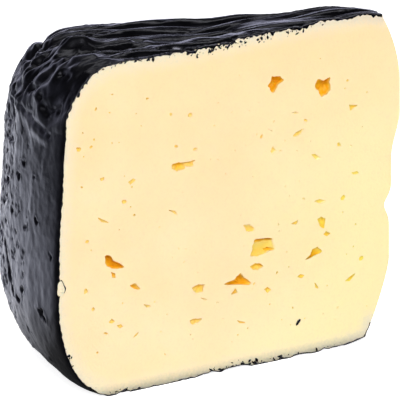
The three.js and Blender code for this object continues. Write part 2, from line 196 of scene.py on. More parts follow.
# On the back face the clusters lie a little closer together and further on.
BACK_CLUSTERS = {"stretch": 0.93, "shift": 4}
# Crumbs: least distance inside the outline, reach and its power, least size, spread of sizes and its power,
# least and most length, height and thickness, turn and how far it strays, unevenness, flatness and standing.
CRUMB = {
    "seeds": (61, 67), "off": 0.45, "reach": 0.8, "near": 2.4, "least": 0.1, "spread": 0.38, "rarity": 2.5,
    "shape": ((0.9, 0.5, 0.5), (1.9, 1.0, 0.9)), "turn": 0.7, "stray": 0.9, "uneven": (0.75, 1.25),
    "flat": 0.6, "stand": 0.05,
}
# Crumbs at known places: r, z and size.
PLACED_CRUMBS = ((35.1, 10.0, 0.8),)
# The pale flake over the rind's cut edge, and a thin dark thread round its side to the tip: a painted shadow of
# the flake, made of black wax.
FLAKE = {"r": 112.4, "z": 33.0, "wide": 2.3, "high": 4.3, "thick": 0.35, "stand": 0.2}
FLAKE_SHADOW_THREAD = {"bearing": 30, "reach": 75, "thick": 0.2, "inset": 0.1, "flat": 0.25, "stand": 0.15}

# How deep the wax reaches down the front cut face, as pairs of running length and depth.
CUT_WAX = (
    (0, 1.0), (24, 1.0), (29, 1.3), (36, 0.8), (46, 0.3), (52, 0.7), (58, 1.3), (64, 0.8), (69, 0.3),
    (78, 0.26), (84, 0.5), (94, 0.35), (100, 1.1), (106, 0.7), (112, 0.45), (118, 0.26), (126, 0.35),
    (132, 0.65), (142, 0.4), (154, 0.6), (165, 0.65), (172, 0.3), (186, 0.34), (194, 0.5), (300, 0.5),
)
# The torn edge there, by layer: height, length along the edge, and row and seed of its noise.
TEETH = {
    "short": (0.55, 1.2, 0.3, 50), "long": (0.4, 2.9, 0.6, 50), "tears": (1.0, 1.4, 0.4, 53),
    "patches": (2.0, 13.0, 0.7, 57),
}
# Least depth of the edge, how far a tear reaches, how much further in patches on top, its power, where the top
# ends and over what length, and what is taken off.
TORN = {"least": 0.24, "reach": 0.35, "further": 2.0, "power": 1.3, "top": 68, "over": 8, "less": 0.1}

# The paste's surface: its step, how deep its rings reach and how they crowd outwards, the columns between the
# cuts and how near the cuts they come, how far it lies under the wax beside and between the cuts, its least
# height, and how much more that is over the wax.
PASTE = {
    "step": 1.25, "depth": 46, "crowding": 0.9, "columns": 9, "last": 0.97, "under": 0.16, "deep": 2.6,
    "floor": 0.02, "lift": 0.14,
}
# Rows of the wax down the section as stretches of running length and step, those under the wedge, the columns
# across it and how far these crowd towards the cuts.
WAX_ROWS = ((0.0, 85.0, 0.43), (85.0, 186.0, 0.39), (186.0, 221.0, 0.62))
BASE_ROWS = 46
WAX_COLUMNS = 158
CROWDED = 0.14
# The wax on a cut face: share of its depth and height over the paste. Its last row dips under the paste.
CUT_ROWS = ((0.15, 0.08), (0.7, 0.08), (1.0, -0.15))
# The wax's hidden inner side: rows, depth, and how far it stays clear of the cuts.
INNER_SIDE = {"rows": 7, "depth": 3.4, "last": 0.96, "clear": 1.2, "least": 12.0}

# Relief of the wax alone, by layer: height, length down the section, spacing across and seed.
LAYERS = {
    "bend along": (5.0, 26.0, 12.0, 31),
    "bend across": (1.8, 24.0, 9.0, 32),
    "top rolls": (1.7, 44.0, 6.6, 33),
    "top swells": (0.6, 34.0, 5.0, 34),
    "small top rolls": (0.5, 26.0, 3.8, 35),
    "top grain": (0.06, 6.0, 1.5, 36),
    "shoulder swells": (1.4, 13.0, 8.0, 43),
    "small shoulder swells": (0.35, 5.5, 5.0, 55),
    "shoulder creases": (0.65, 22.0, 6.5, 37),
    "small shoulder creases": (0.3, 9.0, 4.2, 44),
    "crushed folds": (0.85, 2.2, 3.0, 54),
    "rim lumps": (0.18, 13.0, 8.0, 38),
    "small rim lumps": (0.08, 5.0, 3.0, 39),
    "rear nicks": (1.0, 2.4, 3.4, 40),
    "rear grain": (1.0, 3.0, 2.4, 48),
    "peel": (1.0, 1.9, 1.7, 41),
    "small peel": (0.6, 1.0, 1.0, 42),
    "dragged grain": (1.0, 1.5, 1.2, 49),
    "small dragged grain": (0.6, 0.9, 0.8, 50),
    "foot waves": (0.7, 6.0, 30.0, 46),
    "short foot waves": (0.5, 2.3, 30.0, 58),
    "fold stray along": (0.5, 3.5, 3.5, 51),
    "fold stray across": (0.7, 3.0, 3.0, 52),
    "crease wear": (0.7, 2.1, 2.6, 53),
    "fold fading": (0.75, 5.5, 5.5, 57),
    "pit stray along": (0.7, 1.5, 1.6, 45),
    "pit stray across": (1.0, 1.4, 1.8, 47),
}
# How far the shoulder's creases slant and how wide they are, how far its swells slant, and how much of the
# solid's streaks the wax keeps.
CREASES = {"shoulder creases": (0.25, 0.16), "small shoulder creases": (-0.2, 0.18)}
SWELL_SLANT = 0.25
WAX_STREAKS = 0.45
# Where the wax changes its character.
RIM_ZONE = {"below": 88, "over": 14}
SHOULDER_ZONE = {"r": 104, "z": 87, "reach": 12}
REAR_ZONE = {"before": 4, "over": 22}
FOOT_ZONE = 6
TIP_ZONE = 18
CRUSHED = {"along": 97, "lateral": -18, "long": 7, "wide": 10, "sunk": 0.3}
REAR_NICKS = {"above": 0.12, "over": 0.4, "until": 172, "fade": 10, "depth": 0.58}
REAR_GRAIN = {"front": 0.06, "more": 0.24}
REAR_PEEL = 1.6
# Beside the cuts the relief is calmed and the wax bends in with dragged grain. A low ridge runs along the front
# edge of the top, and the foot waves.
HELD_AT_CUT = {"front": 0.5, "back": 0.75, "power": 6}
EDGE_BEND = {"broad": 0.4, "close": 0.6, "width": 1.7, "tip": 12, "over": 30, "on_top": 0.25}
FRONT_RIDGE = {"height": 0.55, "inside": 5, "reach": 2.8, "tip": 30, "over": 30, "off_shoulder": 0.8}
DRAGGED = {"at_cut": 0.12, "on_top": 0.3, "width": 3.5}
FOOT_WAVES = {"below": 8, "depth": 1.3}

# Named folds and creases of the wax: height, half width, and points of running length and distance across.
FOLD_LINES = (
    (1.7, 4.4, ((110.8, -4.1), (109.1, -4.5), (106.5, -3.6), (102.5, -0.7), (96.8, 0.2), (91.4, -0.2),
                (88.5, 0.0))),
    (1.0, 3.6, ((88.5, 0.0), (82.3, 3.1), (72.0, 6.0))),
    (1.1, 3.7, ((106.3, 13.0), (103.3, 9.6), (100.7, 8.0), (98.1, 9.0), (97.6, 13.0), (97.7, 18.0))),
    (0.9, 3.4, ((93.8, 11.5), (90.7, 8.4), (88.0, 6.8), (84.9, 9.7), (77.2, 11.4))),
    (0.8, 3.2, ((96.1, 15.1), (93.4, 14.9), (91.4, 17.8), (90.7, 21.7))),
    (0.9, 3.2, ((103.4, -14.0), (101.0, -10.8), (99.7, -6.8))),
    (0.5, 2.2, ((112.4, -2.0), (113.9, 4.6), (115.4, 9.4), (116.2, 14.4), (116.6, 19.5))),
    (0.6, 3.0, ((60.0, 9.0), (52.9, 10.8), (46.9, 12.6), (38.0, 11.5))),
    (0.4, 1.0, ((180.3, -3.0), (181.5, -1.4), (181.0, 5.5), (181.4, 10.9), (180.5, 17.4))),
    (-0.3, 1.0, ((182.3, -3.0), (183.5, -1.4), (183.0, 5.5), (183.4, 10.9), (182.5, 17.4))),
    (-0.5, 0.9, ((109.0, -9.0), (111.7, -4.6), (112.2, -0.2), (113.0, 5.0), (113.6, 10.0), (114.5, 15.5),
                 (115.9, 20.7))),
    (-1.0, 1.1, ((106.8, 13.5), (108.2, 16.0), (110.1, 18.4))),
    (-1.0, 1.0, ((107.7, 4.8), (106.2, 6.1), (105.3, 10.5))),
    (-1.0, 1.2, ((109.7, -11.7), (112.2, -8.2))),
    (-0.9, 1.0, ((109.1, 20.3), (108.2, 23.6))),
    (-0.9, 1.1, ((99.7, 17.8), (99.6, 20.9))),
    (-1.0, 1.3, ((105.0, -9.2), (102.2, -6.0), (100.2, -3.9), (96.0, -3.6))),
    (-0.8, 1.6, ((95.5, -28.0), (94.0, -20.0))),
    (-0.9, 0.8, ((83.5, -8.2), (77.2, -7.8))),
    (-0.8, 1.0, ((89.0, -2.2), (83.6, -2.5), (78.5, -0.6), (71.2, 3.7))),
    (-0.8, 1.0, ((88.0, 5.5), (83.0, 8.4), (66.0, 16.0))),
    (-0.6, 0.9, ((89.1, 18.6), (81.7, 13.8))),
    (-0.9, 0.8, ((152.9, -9.7), (158.4, -6.7), (162.6, -3.2), (165.3, -0.7))),
)
# Named knobs and hollows of the wax: running length, distance across, radius and height.
KNOBS = (
    (102.2, 16.2, 2.0, 0.7), (96.2, 22.4, 3.8, 0.7), (95.2, 9.7, 1.2, 0.6), (93.0, -14.0, 3.5, 0.8),
    (107.0, 0.6, 0.9, -0.4), (101.0, -26.0, 5.5, 0.7), (98.6, -27.0, 1.8, 0.5), (94.8, -26.0, 1.5, -0.5),
    (89.5, -24.5, 2.2, 0.4), (96.2, 6.9, 1.1, -0.6), (96.6, 12.6, 0.9, -0.5), (44.7, 5.7, 2.6, -1.5),
)
# Named nicks of the rim: running length, distance across, half length, half width, slant and depth.
NICKS = (
    (127.0, 5.8, 0.65, 1.0, 0.0, 1.0), (124.4, -11.0, 0.5, 3.6, 0.07, 0.8),
    (148.3, 26.5, 0.4, 1.0, 0.45, 0.35), (140.7, 17.2, 0.6, 0.9, 0.3, 0.6), (144.0, 9.4, 0.6, 1.0, -0.3, 0.6),
    (166.0, 21.4, 0.9, 1.7, 0.45, 1.2), (142.4, -2.3, 0.9, 0.9, 0.0, 0.8), (162.3, 7.9, 0.9, 1.1, -0.2, 0.8),
    (165.3, -0.7, 0.9, 1.6, 0.5, 0.9), (166.1, 3.7, 0.7, 1.3, 0.4, 0.9), (131.5, 2.4, 0.6, 1.2, 0.2, 0.8),
    (129.1, 14.4, 0.5, 0.9, 0.0, 0.6), (135.8, -10.1, 0.8, 1.8, 0.1, 0.8),
)
# The low lip round a nick, and the small pits: their seed, where they lie and how far they lean to the rear,
# their least size, spread of sizes and its power, length and width as shares of the size, most slant, depth
# as a share of the size, and how far a nick strays.
NICK_LIP = {"at": 1.7, "reach": 0.45, "height": 0.16}
PITS = {
    "seed": 41, "along": (102, 190), "front": 12, "reach": 41, "lean": 0.7, "least": 0.22, "spread": 0.26,
    "rarity": 3, "long": (1.2, 3.0), "wide": (1.0, 2.4), "slant": 0.4, "depth": 0.75, "stray": 1.5,
}
# How many points are set against the outline at once.
BATCH = 20000
# How far from a cut the pits reach their full depth.
CLEAR_OF_CUT = 1.5

# Colours of an eye's wall by its depth, the deeper the redder and darker as painted shade and painted light
# bounced inside the eye, and their tint where the wedge is thin. The foot's greyish colour, partly dirt and
# partly painted shade where the wedge meets the floor, fades with height.
EYE_WALL_PAINTED_LIGHT = (
    (0.0, (0.86, 0.7, 0.32)), (0.1, (0.84, 0.61, 0.19)), (0.4, (0.88, 0.6, 0.12)), (0.72, (0.9, 0.51, 0.025)),
    (1.0, (0.82, 0.4, 0.006)),
)
THIN_EYE_TINT = (0.97, 1.13, 0.6)
FOOT_DIRT_AND_SHADE_FADE = ((0.0, 1.0), (0.2, 0.85), (0.5, 0.4), (1.0, 0.0))

# The stage: half the floor's width, its colours, the lamps with their places, sizes and powers, and the sky.
FLOOR_HALF = 4.0
FLOOR_COLOUR = (0.86, 0.86, 0.86)
FLOOR_BEFORE = (0.02, 0.02, 0.02)
FLOOR_MIRRORED = ((0.0, (0.18, 0.19, 0.22)), (1.0, (0.85, 0.85, 0.85)))
GLOW_TINTS = ((0.78, 0.82, 1.0), (0.93, 0.93, 0.98))
LAMPS = (
    ("key", (-0.45, -1.35, 0.95), (1.1, 0.9), 26.0),
    ("fill", (1.1, -1.0, 0.6), (0.8, 0.8), 7.0),
    ("overhead", (0.1, 0.42, 0.95), (0.8, 0.24), 0.9),
)
SKY_BEFORE = (0.02, 0.02, 0.02)
SKY_BEHIND = (
    (0.0, (1.1, 1.1, 1.4)), (0.2, (0.98, 0.99, 1.28)), (0.37, (0.68, 0.69, 0.9)), (0.5, (0.25, 0.25, 0.33)),
    (0.66, (0.05, 0.05, 0.066)), (1.0, (0.001, 0.001, 0.002)),
)
SKY_LEFT = (
    (0.0, (0.55, 0.56, 0.7)), (0.3, (0.22, 0.225, 0.29)), (0.5, (0.05, 0.05, 0.066)),
    (1.0, (0.012, 0.012, 0.015)),
)
LAMP_AIM = (0.0, 0.0, 0.045)
CAMERA_AIM = (-0.00248, 0.0, 0.0454)


# ---------------------------------------------------------------- numbers

def smooth(x):
    """3x^2 - 2x^3 between 0 and 1, held level outside."""
    held = np.clip(x, 0.0, 1.0)
    return held * held * (3.0 - 2.0 * held)


def scatter(i, j, seed):
    """A fixed number from 0 to 1 for each pair and seed: the fraction of a large sine."""
    raw = np.sin(i * 127.1 + j * 311.7 + seed * 74.7) * 43758.5453
    return raw - np.floor(raw)


def lattice_noise(a, b, seed):
    """Scattered values on a unit lattice, blended smoothly to both sides, from -1 to 1."""
    i, j = np.floor(a), np.floor(b)
    u, v = smooth(a - i), smooth(b - j)
    low = scatter(i, j, seed) * (1 - u) + scatter(i + 1, j, seed) * u
    high = scatter(i, j + 1, seed) * (1 - u) + scatter(i + 1, j + 1, seed) * u
    return 2.0 * (low * (1 - v) + high * v) - 1.0


def slope_noise(a, b, seed):
    """Noise about from -1 to 1 that is 0 on a unit lattice and slopes a fixed scattered way at each point."""
    i, j = np.floor(a), np.floor(b)
    x, y = a - i, b - j
    total = 0.0
    for di in (0, 1):
        for dj in (0, 1):
            turn = 2 * np.pi * scatter(i + di, j + dj, seed)
            share = (1 - smooth(np.abs(x - di))) * (1 - smooth(np.abs(y - dj)))
            total = total + share * (np.cos(turn) * (x - di) + np.sin(turn) * (y - dj))
    return 1.6 * total


def rolled(noise):
    """Noise as soft round rolls between sharp creases, -0.6 to 0.4: the creases lie on its zero line."""
    near = np.minimum(1.0, np.abs(noise) * 1.7)
    return near * (2 - near) - 0.6


def creased(noise, width):
    """Noise as narrow creases, -1 to 0: they lie on its zero line."""
    return -np.exp(-((noise / width) ** 2))


def relief_of(kind, along, lateral):
    """One kind of relief: its height times noise stretched down the section and across the wedge."""
    height, length, spacing, seed = kind
    return height * lattice_noise(along / length, lateral / spacing, seed)


# ---------------------------------------------------------------- form

def tip_radius(z):
    """The tip's upright edge: set back in two steps, notched, chamfered at the foot, rounded at the top."""
    setback = TIP_SETBACK["depth"] * smooth((TIP_SETBACK["start"] - z) / TIP_SETBACK["over"])
    setback = setback + TIP_STEP["depth"] * smooth((TIP_STEP["start"] - z) / TIP_STEP["over"])
    notch = TIP_NOTCH["depth"] * np.exp(-(((z - TIP_NOTCH["z"]) / TIP_NOTCH["reach"]) ** 2))
    chamfer = TIP_CHAMFER["depth"] * np.maximum(0.0, 1 - z / TIP_CHAMFER["height"]) ** TIP_CHAMFER["power"]
    corner = TIP_CORNER["depth"] * np.maximum(0.0, (z - TIP_CORNER["start"]) / TIP_CORNER["over"]) ** 2
    return setback + notch + chamfer + corner


def section_parts(steps=600):
    """The outline's waxed run and its bare run at the tip, each as dense rows of r and z.

    The waxed run is the crowned top, a quarter ellipse, the leaning rim, a quarter ellipse, the flat base,
    the turned-up heel and the lowest part of the tip's edge. The bare run is the rest of that edge.
    """
    u = np.linspace(0.0, 1.0, steps)
    quarter = u * np.pi / 2
    top_end = RIM["radius"] - RIM["lean"] - UPPER_SHOULDER_WIDTH
    base_end = RIM["radius"] - LOWER_SHOULDER["width"]
    foot = float(tip_radius(np.array(0.0)))
    heel_end = foot + TIP_HEEL["length"]
    top_r = TIP_CORNER["depth"] + (top_end - TIP_CORNER["depth"]) * u
    top_z = TOP_HEIGHT + CROWN["rise"] * smooth((CROWN["outer"] - top_r) / (CROWN["outer"] - CROWN["inner"]))
    near_tip = np.maximum(0.0, 1 - (top_r - TIP_CORNER["depth"]) / TIP_FALL["length"])
    top_z = top_z - TIP_FALL["depth"] * near_tip ** 2
    rim_z = RIM["waist"] + (LOWER_SHOULDER["height"] - RIM["waist"]) * u
    rim_r = RIM["radius"] - RIM["lean"] * (1 - u) ** RIM["power"]
    heel_r = heel_end + (foot - heel_end) * u
    waxed = (
        (top_r, top_z),
        (top_end + UPPER_SHOULDER_WIDTH * np.sin(quarter),
         RIM["waist"] + (TOP_HEIGHT - RIM["waist"]) * np.cos(quarter)),
        (rim_r, rim_z),
        (base_end + LOWER_SHOULDER["width"] * np.cos(quarter),
         LOWER_SHOULDER["height"] * (1 - np.sin(quarter))),
        (base_end + (heel_end - base_end) * u, 0.0 * u),
        (heel_r, TIP_HEEL["rise"] * (1 - (heel_r - foot) / TIP_HEEL["length"]) ** 2),
    )
    waxed = np.concatenate([np.stack(part, 1)[:-1] for part in waxed] + [[(foot, TIP_HEEL["rise"])]])
    tip_z = TIP_HEEL["rise"] + (top_z[0] - TIP_HEEL["rise"]) * u
    bare = np.stack([tip_radius(tip_z), tip_z], 1)
    lip = tip_z < WAX_LIP
    return np.concatenate([waxed[:-1], bare[lip]]), bare[~lip]


def resampled(curve, at):
    """Points of a dense curve at the given running lengths."""
    run = np.concatenate([[0.0], np.cumsum(np.hypot(*np.diff(curve, axis=0).T))])
    return np.stack([np.interp(at, run, curve[:, k]) for k in (0, 1)], 1), run[-1]


def outward(points):
    """The unit direction out of the section at each point: the run's direction turned a quarter."""
    run = np.gradient(points, axis=0)
    run /= np.hypot(run[:, 0], run[:, 1])[:, None]
    return np.stack([-run[:, 1], run[:, 0]], 1)


def placed(r, z, across):
    """Points in millimetres: r turned by the share of the half angle, with the tip's own half width."""
    turn = across * HALF_ANGLE
    x = WHEEL_AXIS[0] - r * np.cos(turn)
    y = WHEEL_AXIS[1] - r * np.sin(turn) - across * TIP_HALF_WIDTH
    return np.stack(np.broadcast_arrays(x, y, z), -1)


def knife_wave(r, z, side):
    """How far a cut face stands out: slow slanting waves, fading out at the tip."""
    return smooth(r / CROWN["inner"]) * relief_of(KNIFE_MARKS, r + side * KNIFE_MARKS[1], z + KNIFE_SLANT * r)


def with_cut(points, r, z, across):
    """Moves points sideways with the knife's waves, wholly at a cut face and not at all far from it."""
    side = np.sign(across)
    near = smooth((np.abs(across) - 1) / CUT_ZONE + 1)
    moved = points.copy()
    moved[..., 1] -= side * near * knife_wave(r, z, side)
    return moved


def solid_relief(r, z, along, across, streaks=1.0):
    """The solid's relief: wrinkles on top, folds on the shoulder, streaks on the rim, and broad swells."""
    lateral = r * across * HALF_ANGLE
    bend = relief_of(BENDS, along, lateral)
    on_top = smooth((z - WRINKLED[0]) / (WRINKLED[1] - WRINKLED[0]))
    on_rim = smooth(z / LOWER_SHOULDER["height"]) * smooth((STREAKED[0] - z) / (STREAKED[0] - STREAKED[1]))
    away = np.hypot(r - FOLDED_SHOULDER["r"], z - FOLDED_SHOULDER["z"]) / FOLDED_SHOULDER["reach"]
    fine = on_top * relief_of(WRINKLES, along, lateral + bend)
    fine = fine + np.exp(-(away ** 2)) * relief_of(FOLDS, along + lateral, lateral)
    fine = fine + streaks * on_rim * relief_of(STREAKS, along, lateral)
    here = placed(r, z, across)
    swell = 0.0
    for lump_r, lump_z, lump_across, reach, height in SWELLS:
        middle = placed(float(lump_r), float(lump_z), lump_across)
        distance = np.linalg.norm(here - middle, axis=-1) / reach
        swell = swell + height * np.exp(-(distance ** 2))
    calm = 1 + (RELIEF_AT_CUT - 1) * across ** 4
    return smooth(r / CROWN["inner"]) * (calm * fine + swell)


def line_distance(a, b, points):
    """The distance of each place from a line of straight pieces."""
    least = np.full(np.broadcast(a, b).shape, 1e9)
    for (a0, b0), (a1, b1) in zip(points, points[1:]):
        da, db = a1 - a0, b1 - b0
        share = np.clip(((a - a0) * da + (b - b0) * db) / (da * da + db * db), 0, 1)
        least = np.minimum(least, np.hypot(a - a0 - share * da, b - b0 - share * db))
    return least


def layer(name, along, lateral, shape=None, **values):
    """A layer of the wax's relief: its height times its noise, which a shape may roll or crease first."""
    height, length, spacing, seed = LAYERS[name]
    noise = slope_noise(along / length, lateral / spacing, seed)
    return height * (shape(noise, **values) if shape else noise)


def named_relief(along, lateral):
    """Named folds, knobs and hollows of the wax, each a bell of the distance from its line or middle."""
    total = 0.0
    a = along + layer("fold stray along", along, lateral)
    b = lateral + layer("fold stray across", along, lateral)
    worn = 0.9 + layer("crease wear", along, lateral)
    fading = 0.75 + layer("fold fading", along, lateral)
    for height, width, points in FOLD_LINES:
        away = line_distance(a, b, points) / width
        shape = fading * np.exp(-(away ** 2.6)) if height > 0 else worn * np.exp(-(away ** 2))
        total = total + height * shape
    for at, side, radius, height in KNOBS:
        distance = np.hypot(a - at, b - side) / radius
        total = total + height * np.exp(-(distance ** (2 if height > 0 else 3)))
    return total


def top_relief(a, b):
    """Long bent folds: broad and small rolls between creases, with swells and a little grain."""
    folds = layer("top rolls", a, b, rolled) + layer("top swells", a, b)
    return folds + layer("small top rolls", a, b, rolled) + layer("top grain", a, b)


def shoulder_relief(along, lateral, a, b):
    """Round tangled folds: swells cut by slanting creases, and short crushed folds to the rear."""
    folds = layer("shoulder swells", a, b + SWELL_SLANT * a) + layer("small shoulder swells", a, b)
    for name, (slant, width) in CREASES.items():
        folds = folds + layer(name, a, b + slant * a, creased, width=width)
    down = (along - CRUSHED["along"]) / CRUSHED["long"]
    aside = (lateral - CRUSHED["lateral"]) / CRUSHED["wide"]
    crushed = np.exp(-(down ** 2) - aside ** 2)
    return folds + crushed * (layer("crushed folds", along, lateral) - CRUSHED["sunk"])


def rim_relief(along, lateral, a, b):
    """Soft lumps that turn into grain and short rough nicks to the rear, as far as the lower shoulder."""
    rear = smooth((REAR_ZONE["before"] - lateral) / REAR_ZONE["over"])
    lumps = layer("rim lumps", a, b) + layer("small rim lumps", along, lateral)
    rough = smooth((layer("rear nicks", along, lateral) - REAR_NICKS["above"]) / REAR_NICKS["over"])
    rough = rough * smooth((REAR_NICKS["until"] - along) / REAR_NICKS["fade"])
    grain = (REAR_GRAIN["front"] + REAR_GRAIN["more"] * rear) * layer("rear grain", along, lateral)
    return lumps + grain - REAR_NICKS["depth"] * rear * rough, rear


def edge_relief(r, z, along, lateral, across, rim, shoulder, wax):
    """How far the wax stands out beside a cut: dragged grain less its bend inwards, and the foot's waves."""
    from_cut = (1 - np.abs(across)) * HALF_ANGLE * r
    by_cut = np.maximum(0.0, 1 - from_cut / (wax.edge_width / MM)) ** 2
    close = np.maximum(0.0, 1 - from_cut / EDGE_BEND["width"]) ** 2
    on_rim = EDGE_BEND["on_top"] + (1 - EDGE_BEND["on_top"]) * rim
    bend_in = (EDGE_BEND["broad"] * by_cut + EDGE_BEND["close"] * close) * wax.edge_round / MM
    bend_in = bend_in * smooth((r - EDGE_BEND["tip"]) / EDGE_BEND["over"]) * on_rim
    inner = smooth((r - FRONT_RIDGE["tip"]) / FRONT_RIDGE["over"]) * (across > 0) * (1 - rim)
    inner = inner * (1 - FRONT_RIDGE["off_shoulder"] * shoulder)
    off_ridge = (from_cut - FRONT_RIDGE["inside"]) / FRONT_RIDGE["reach"]
    bend_in = bend_in - FRONT_RIDGE["height"] * inner * np.exp(-(off_ridge ** 2))
    grain = layer("dragged grain", along, lateral) + layer("small dragged grain", along, lateral)
    on_top = DRAGGED["on_top"] * inner * np.maximum(0.0, 1 - from_cut / DRAGGED["width"])
    wave = layer("foot waves", along, lateral) + layer("short foot waves", along, lateral)
    wave = np.maximum(0.0, wave) * by_cut * (1 - smooth(z / FOOT_WAVES["below"]))
    return (DRAGGED["at_cut"] * close + on_top) * grain - bend_in, FOOT_WAVES["depth"] * wave


def wax_relief(r, z, along, across, wax):
    """The solid's relief, with calmer streaks, and the wax's own: that of the top, the shoulder or the rim.

    It is calmer beside the cuts, where the wax also bends in, and fades out at the foot and the tip.
    """
    lateral = r * across * HALF_ANGLE
    rim = smooth((RIM_ZONE["below"] - z) / RIM_ZONE["over"])
    away = np.hypot(r - SHOULDER_ZONE["r"], z - SHOULDER_ZONE["z"]) / SHOULDER_ZONE["reach"]
    shoulder = np.exp(-(away ** 2))
    a = along + layer("bend along", along, lateral)
    b = lateral + layer("bend across", along, lateral)
    lumps, rear = rim_relief(along, lateral, a, b)
    folds = top_relief(a, b) * (1 - rim) * (1 - shoulder) + shoulder_relief(along, lateral, a, b) * shoulder
    peel = layer("peel", along, lateral) + layer("small peel", along, lateral)
    peel = peel * (1 + REAR_PEEL * rear * rim)
    out = (wax.fold_height * folds + wax.lump_height * lumps * rim + wax.peel_height * peel) / MM
    held = np.where(across < 0, HELD_AT_CUT["back"], HELD_AT_CUT["front"])
    calm = 1 - held * np.abs(across) ** HELD_AT_CUT["power"]
    own = calm * out + named_relief(along, lateral)
    edge, wave = edge_relief(r, z, along, lateral, across, rim, shoulder, wax)
    solid = solid_relief(r, z, along, across, streaks=WAX_STREAKS)
    return solid + smooth(z / FOOT_ZONE) * (smooth(r / TIP_ZONE) * own + edge) - wave


def nick(along, lateral, long, wide, slant, a, b):
    """The share of a nick's depth at each place: a ragged oval hollow with a low lip round it."""
    across = (b - lateral) / wide
    down = (a - along - slant * (b - lateral)) / long
    distance = np.hypot(across, down)
    lip = (distance - NICK_LIP["at"]) / NICK_LIP["reach"]
    return np.exp(-(distance ** 3)) - NICK_LIP["height"] * np.exp(-(lip ** 2))


def pits(along, lateral, wax):
    """The nicks and pits of the wax: the named ones, and small ones at seeded places, most to the rear."""
    draw = np.random.default_rng(PITS["seed"])
    total = np.zeros_like(along)
    a = along + layer("pit stray along", along, lateral)
    b = lateral + layer("pit stray across", along, lateral)
    spots = list(NICKS)
    for _ in range(wax.pit_count):
        place = (draw.uniform(*PITS["along"]), PITS["front"] - PITS["reach"] * draw.random() ** PITS["lean"])
        size = PITS["least"] + PITS["spread"] * draw.random() ** PITS["rarity"]
        long, wide = size * draw.uniform(*PITS["long"]), size * draw.uniform(*PITS["wide"])
        spots.append((*place, long, wide, draw.uniform(-PITS["slant"], PITS["slant"]), PITS["depth"] * size))
    for at, side, long, wide, slant, depth in spots:
        near = np.abs(along[:, 0] - at) < 3 * long + 3 * abs(slant) * wide + PITS["stray"]
        total[near] -= depth * nick(at, side, long, wide, slant, a[near], b[near])
    return total


# ---------------------------------------------------------------- meshes

def grid_faces(rows, columns, start=0, closed=False):
    """Quads between neighbouring points of a grid, round the rows if they are closed."""
    last = columns if closed else columns - 1
    i = np.arange(rows - 1)[:, None]
    j = np.arange(last)[None, :]
    k = (j + 1) % columns
    quads = np.stack(np.broadcast_arrays(i * columns + j, i * columns + k, (i + 1) * columns + k,
                                         (i + 1) * columns + j), -1)
    return quads.reshape(-1, 4) + start


def make_mesh(name, points, faces):
    """A mesh in metres from points in millimetres and lists of faces."""
    mesh = bpy.data.meshes.new(name)
    mesh.from_pydata((points * MM).tolist(), [], faces)
    mesh.validate()
    mesh.update()
    return mesh


def make_piece(name, mesh, material):
    """An object at the origin that holds the mesh with its material."""
    piece = bpy.data.objects.new(name, mesh)
    bpy.context.scene.collection.objects.link(piece)
    if material:
        mesh.materials.clear()
        mesh.materials.append(material)
    return piece


def read_values(items, name, width=1, kind=float):
    """One named value of every item, as rows if there are several to an item."""
    values = np.empty(len(items) * width, kind)
    items.foreach_get(name, values)
    return values.reshape(-1, width) if width > 1 else values


def face_outward(mesh):
    """Turns the whole closed mesh right side out: its signed volume has to be positive."""
    mesh.calc_loop_triangles()
    corners = read_values(mesh.vertices, "co", 3)[read_values(mesh.loop_triangles, "vertices", 3, np.int32)]
    a, b, c = (corners[:, k] for k in range(3))
    if np.einsum("ij,ij->", a, np.cross(b, c)) < 0:
        mesh.flip_normals()
    mesh.update()


def shade_smooth(mesh, degrees):
    """Smooth shading, with sharp edges where faces meet at more than the given angle."""
    mesh.polygons.foreach_set("use_smooth", np.ones(len(mesh.polygons), bool))
    mesh.set_sharp_from_angle(angle=math.radians(degrees))


def ball(steps):
    """Unit directions on a latitude grid with one point at each pole, and its faces."""
    around, down = steps
    lat = np.linspace(0, np.pi, down)[1:-1]
    lon = np.arange(around) * 2 * np.pi / around
    lat, lon = np.meshgrid(lat, lon, indexing="ij")
    body = np.stack([np.sin(lat) * np.cos(lon), np.sin(lat) * np.sin(lon), np.cos(lat)], -1).reshape(-1, 3)
    way = np.concatenate([body, [(0, 0, 1), (0, 0, -1)]])
    count = around * (down - 2)
    faces = grid_faces(down - 2, around, closed=True).tolist()
    last = count - around
    for k in range(around):
        faces.append((count, (k + 1) % around, k))
        faces.append((count + 1, last + k, last + (k + 1) % around))
    return way, faces


def leaning_out(points, side, stand):
    """Moves points on a cut face straight out of it."""
    points[:, 0] += stand * math.sin(HALF_ANGLE)
    points[:, 1] -= side * stand * math.cos(HALF_ANGLE)
    return points


def joined_balls(shapes, faces):
    """One list of points and one of faces from many balls that share the same faces."""
    size = len(shapes[0])
    joined = [tuple(v + k * size for v in face) for k in range(len(shapes)) for face in faces]
    return np.concatenate(shapes), joined


def straight_reach(bearing, corners):
    """The distance at each bearing to the straight edges that join the corners."""
    turn, reach = np.radians([c[0] for c in corners]), np.array([c[1] for c in corners], float)
    order = np.argsort(turn)
    turn, reach = turn[order], reach[order]
    turn = np.concatenate([turn[-1:] - 2 * np.pi, turn, turn[:1] + 2 * np.pi])
    reach = np.concatenate([reach[-1:], reach, reach[:1]])
    k = np.clip(np.searchsorted(turn, bearing, "right") - 1, 0, len(turn) - 2)
    before, after = bearing - turn[k], turn[k + 1] - bearing
    near, far = reach[k], reach[k + 1]
    span = turn[k + 1] - turn[k]
    edge = near * far * np.sin(span) / np.maximum(1e-6, near * np.sin(before) + far * np.sin(after))
    blend = near + (far - near) * before / span
    return np.where(span < 3.05, edge, blend)


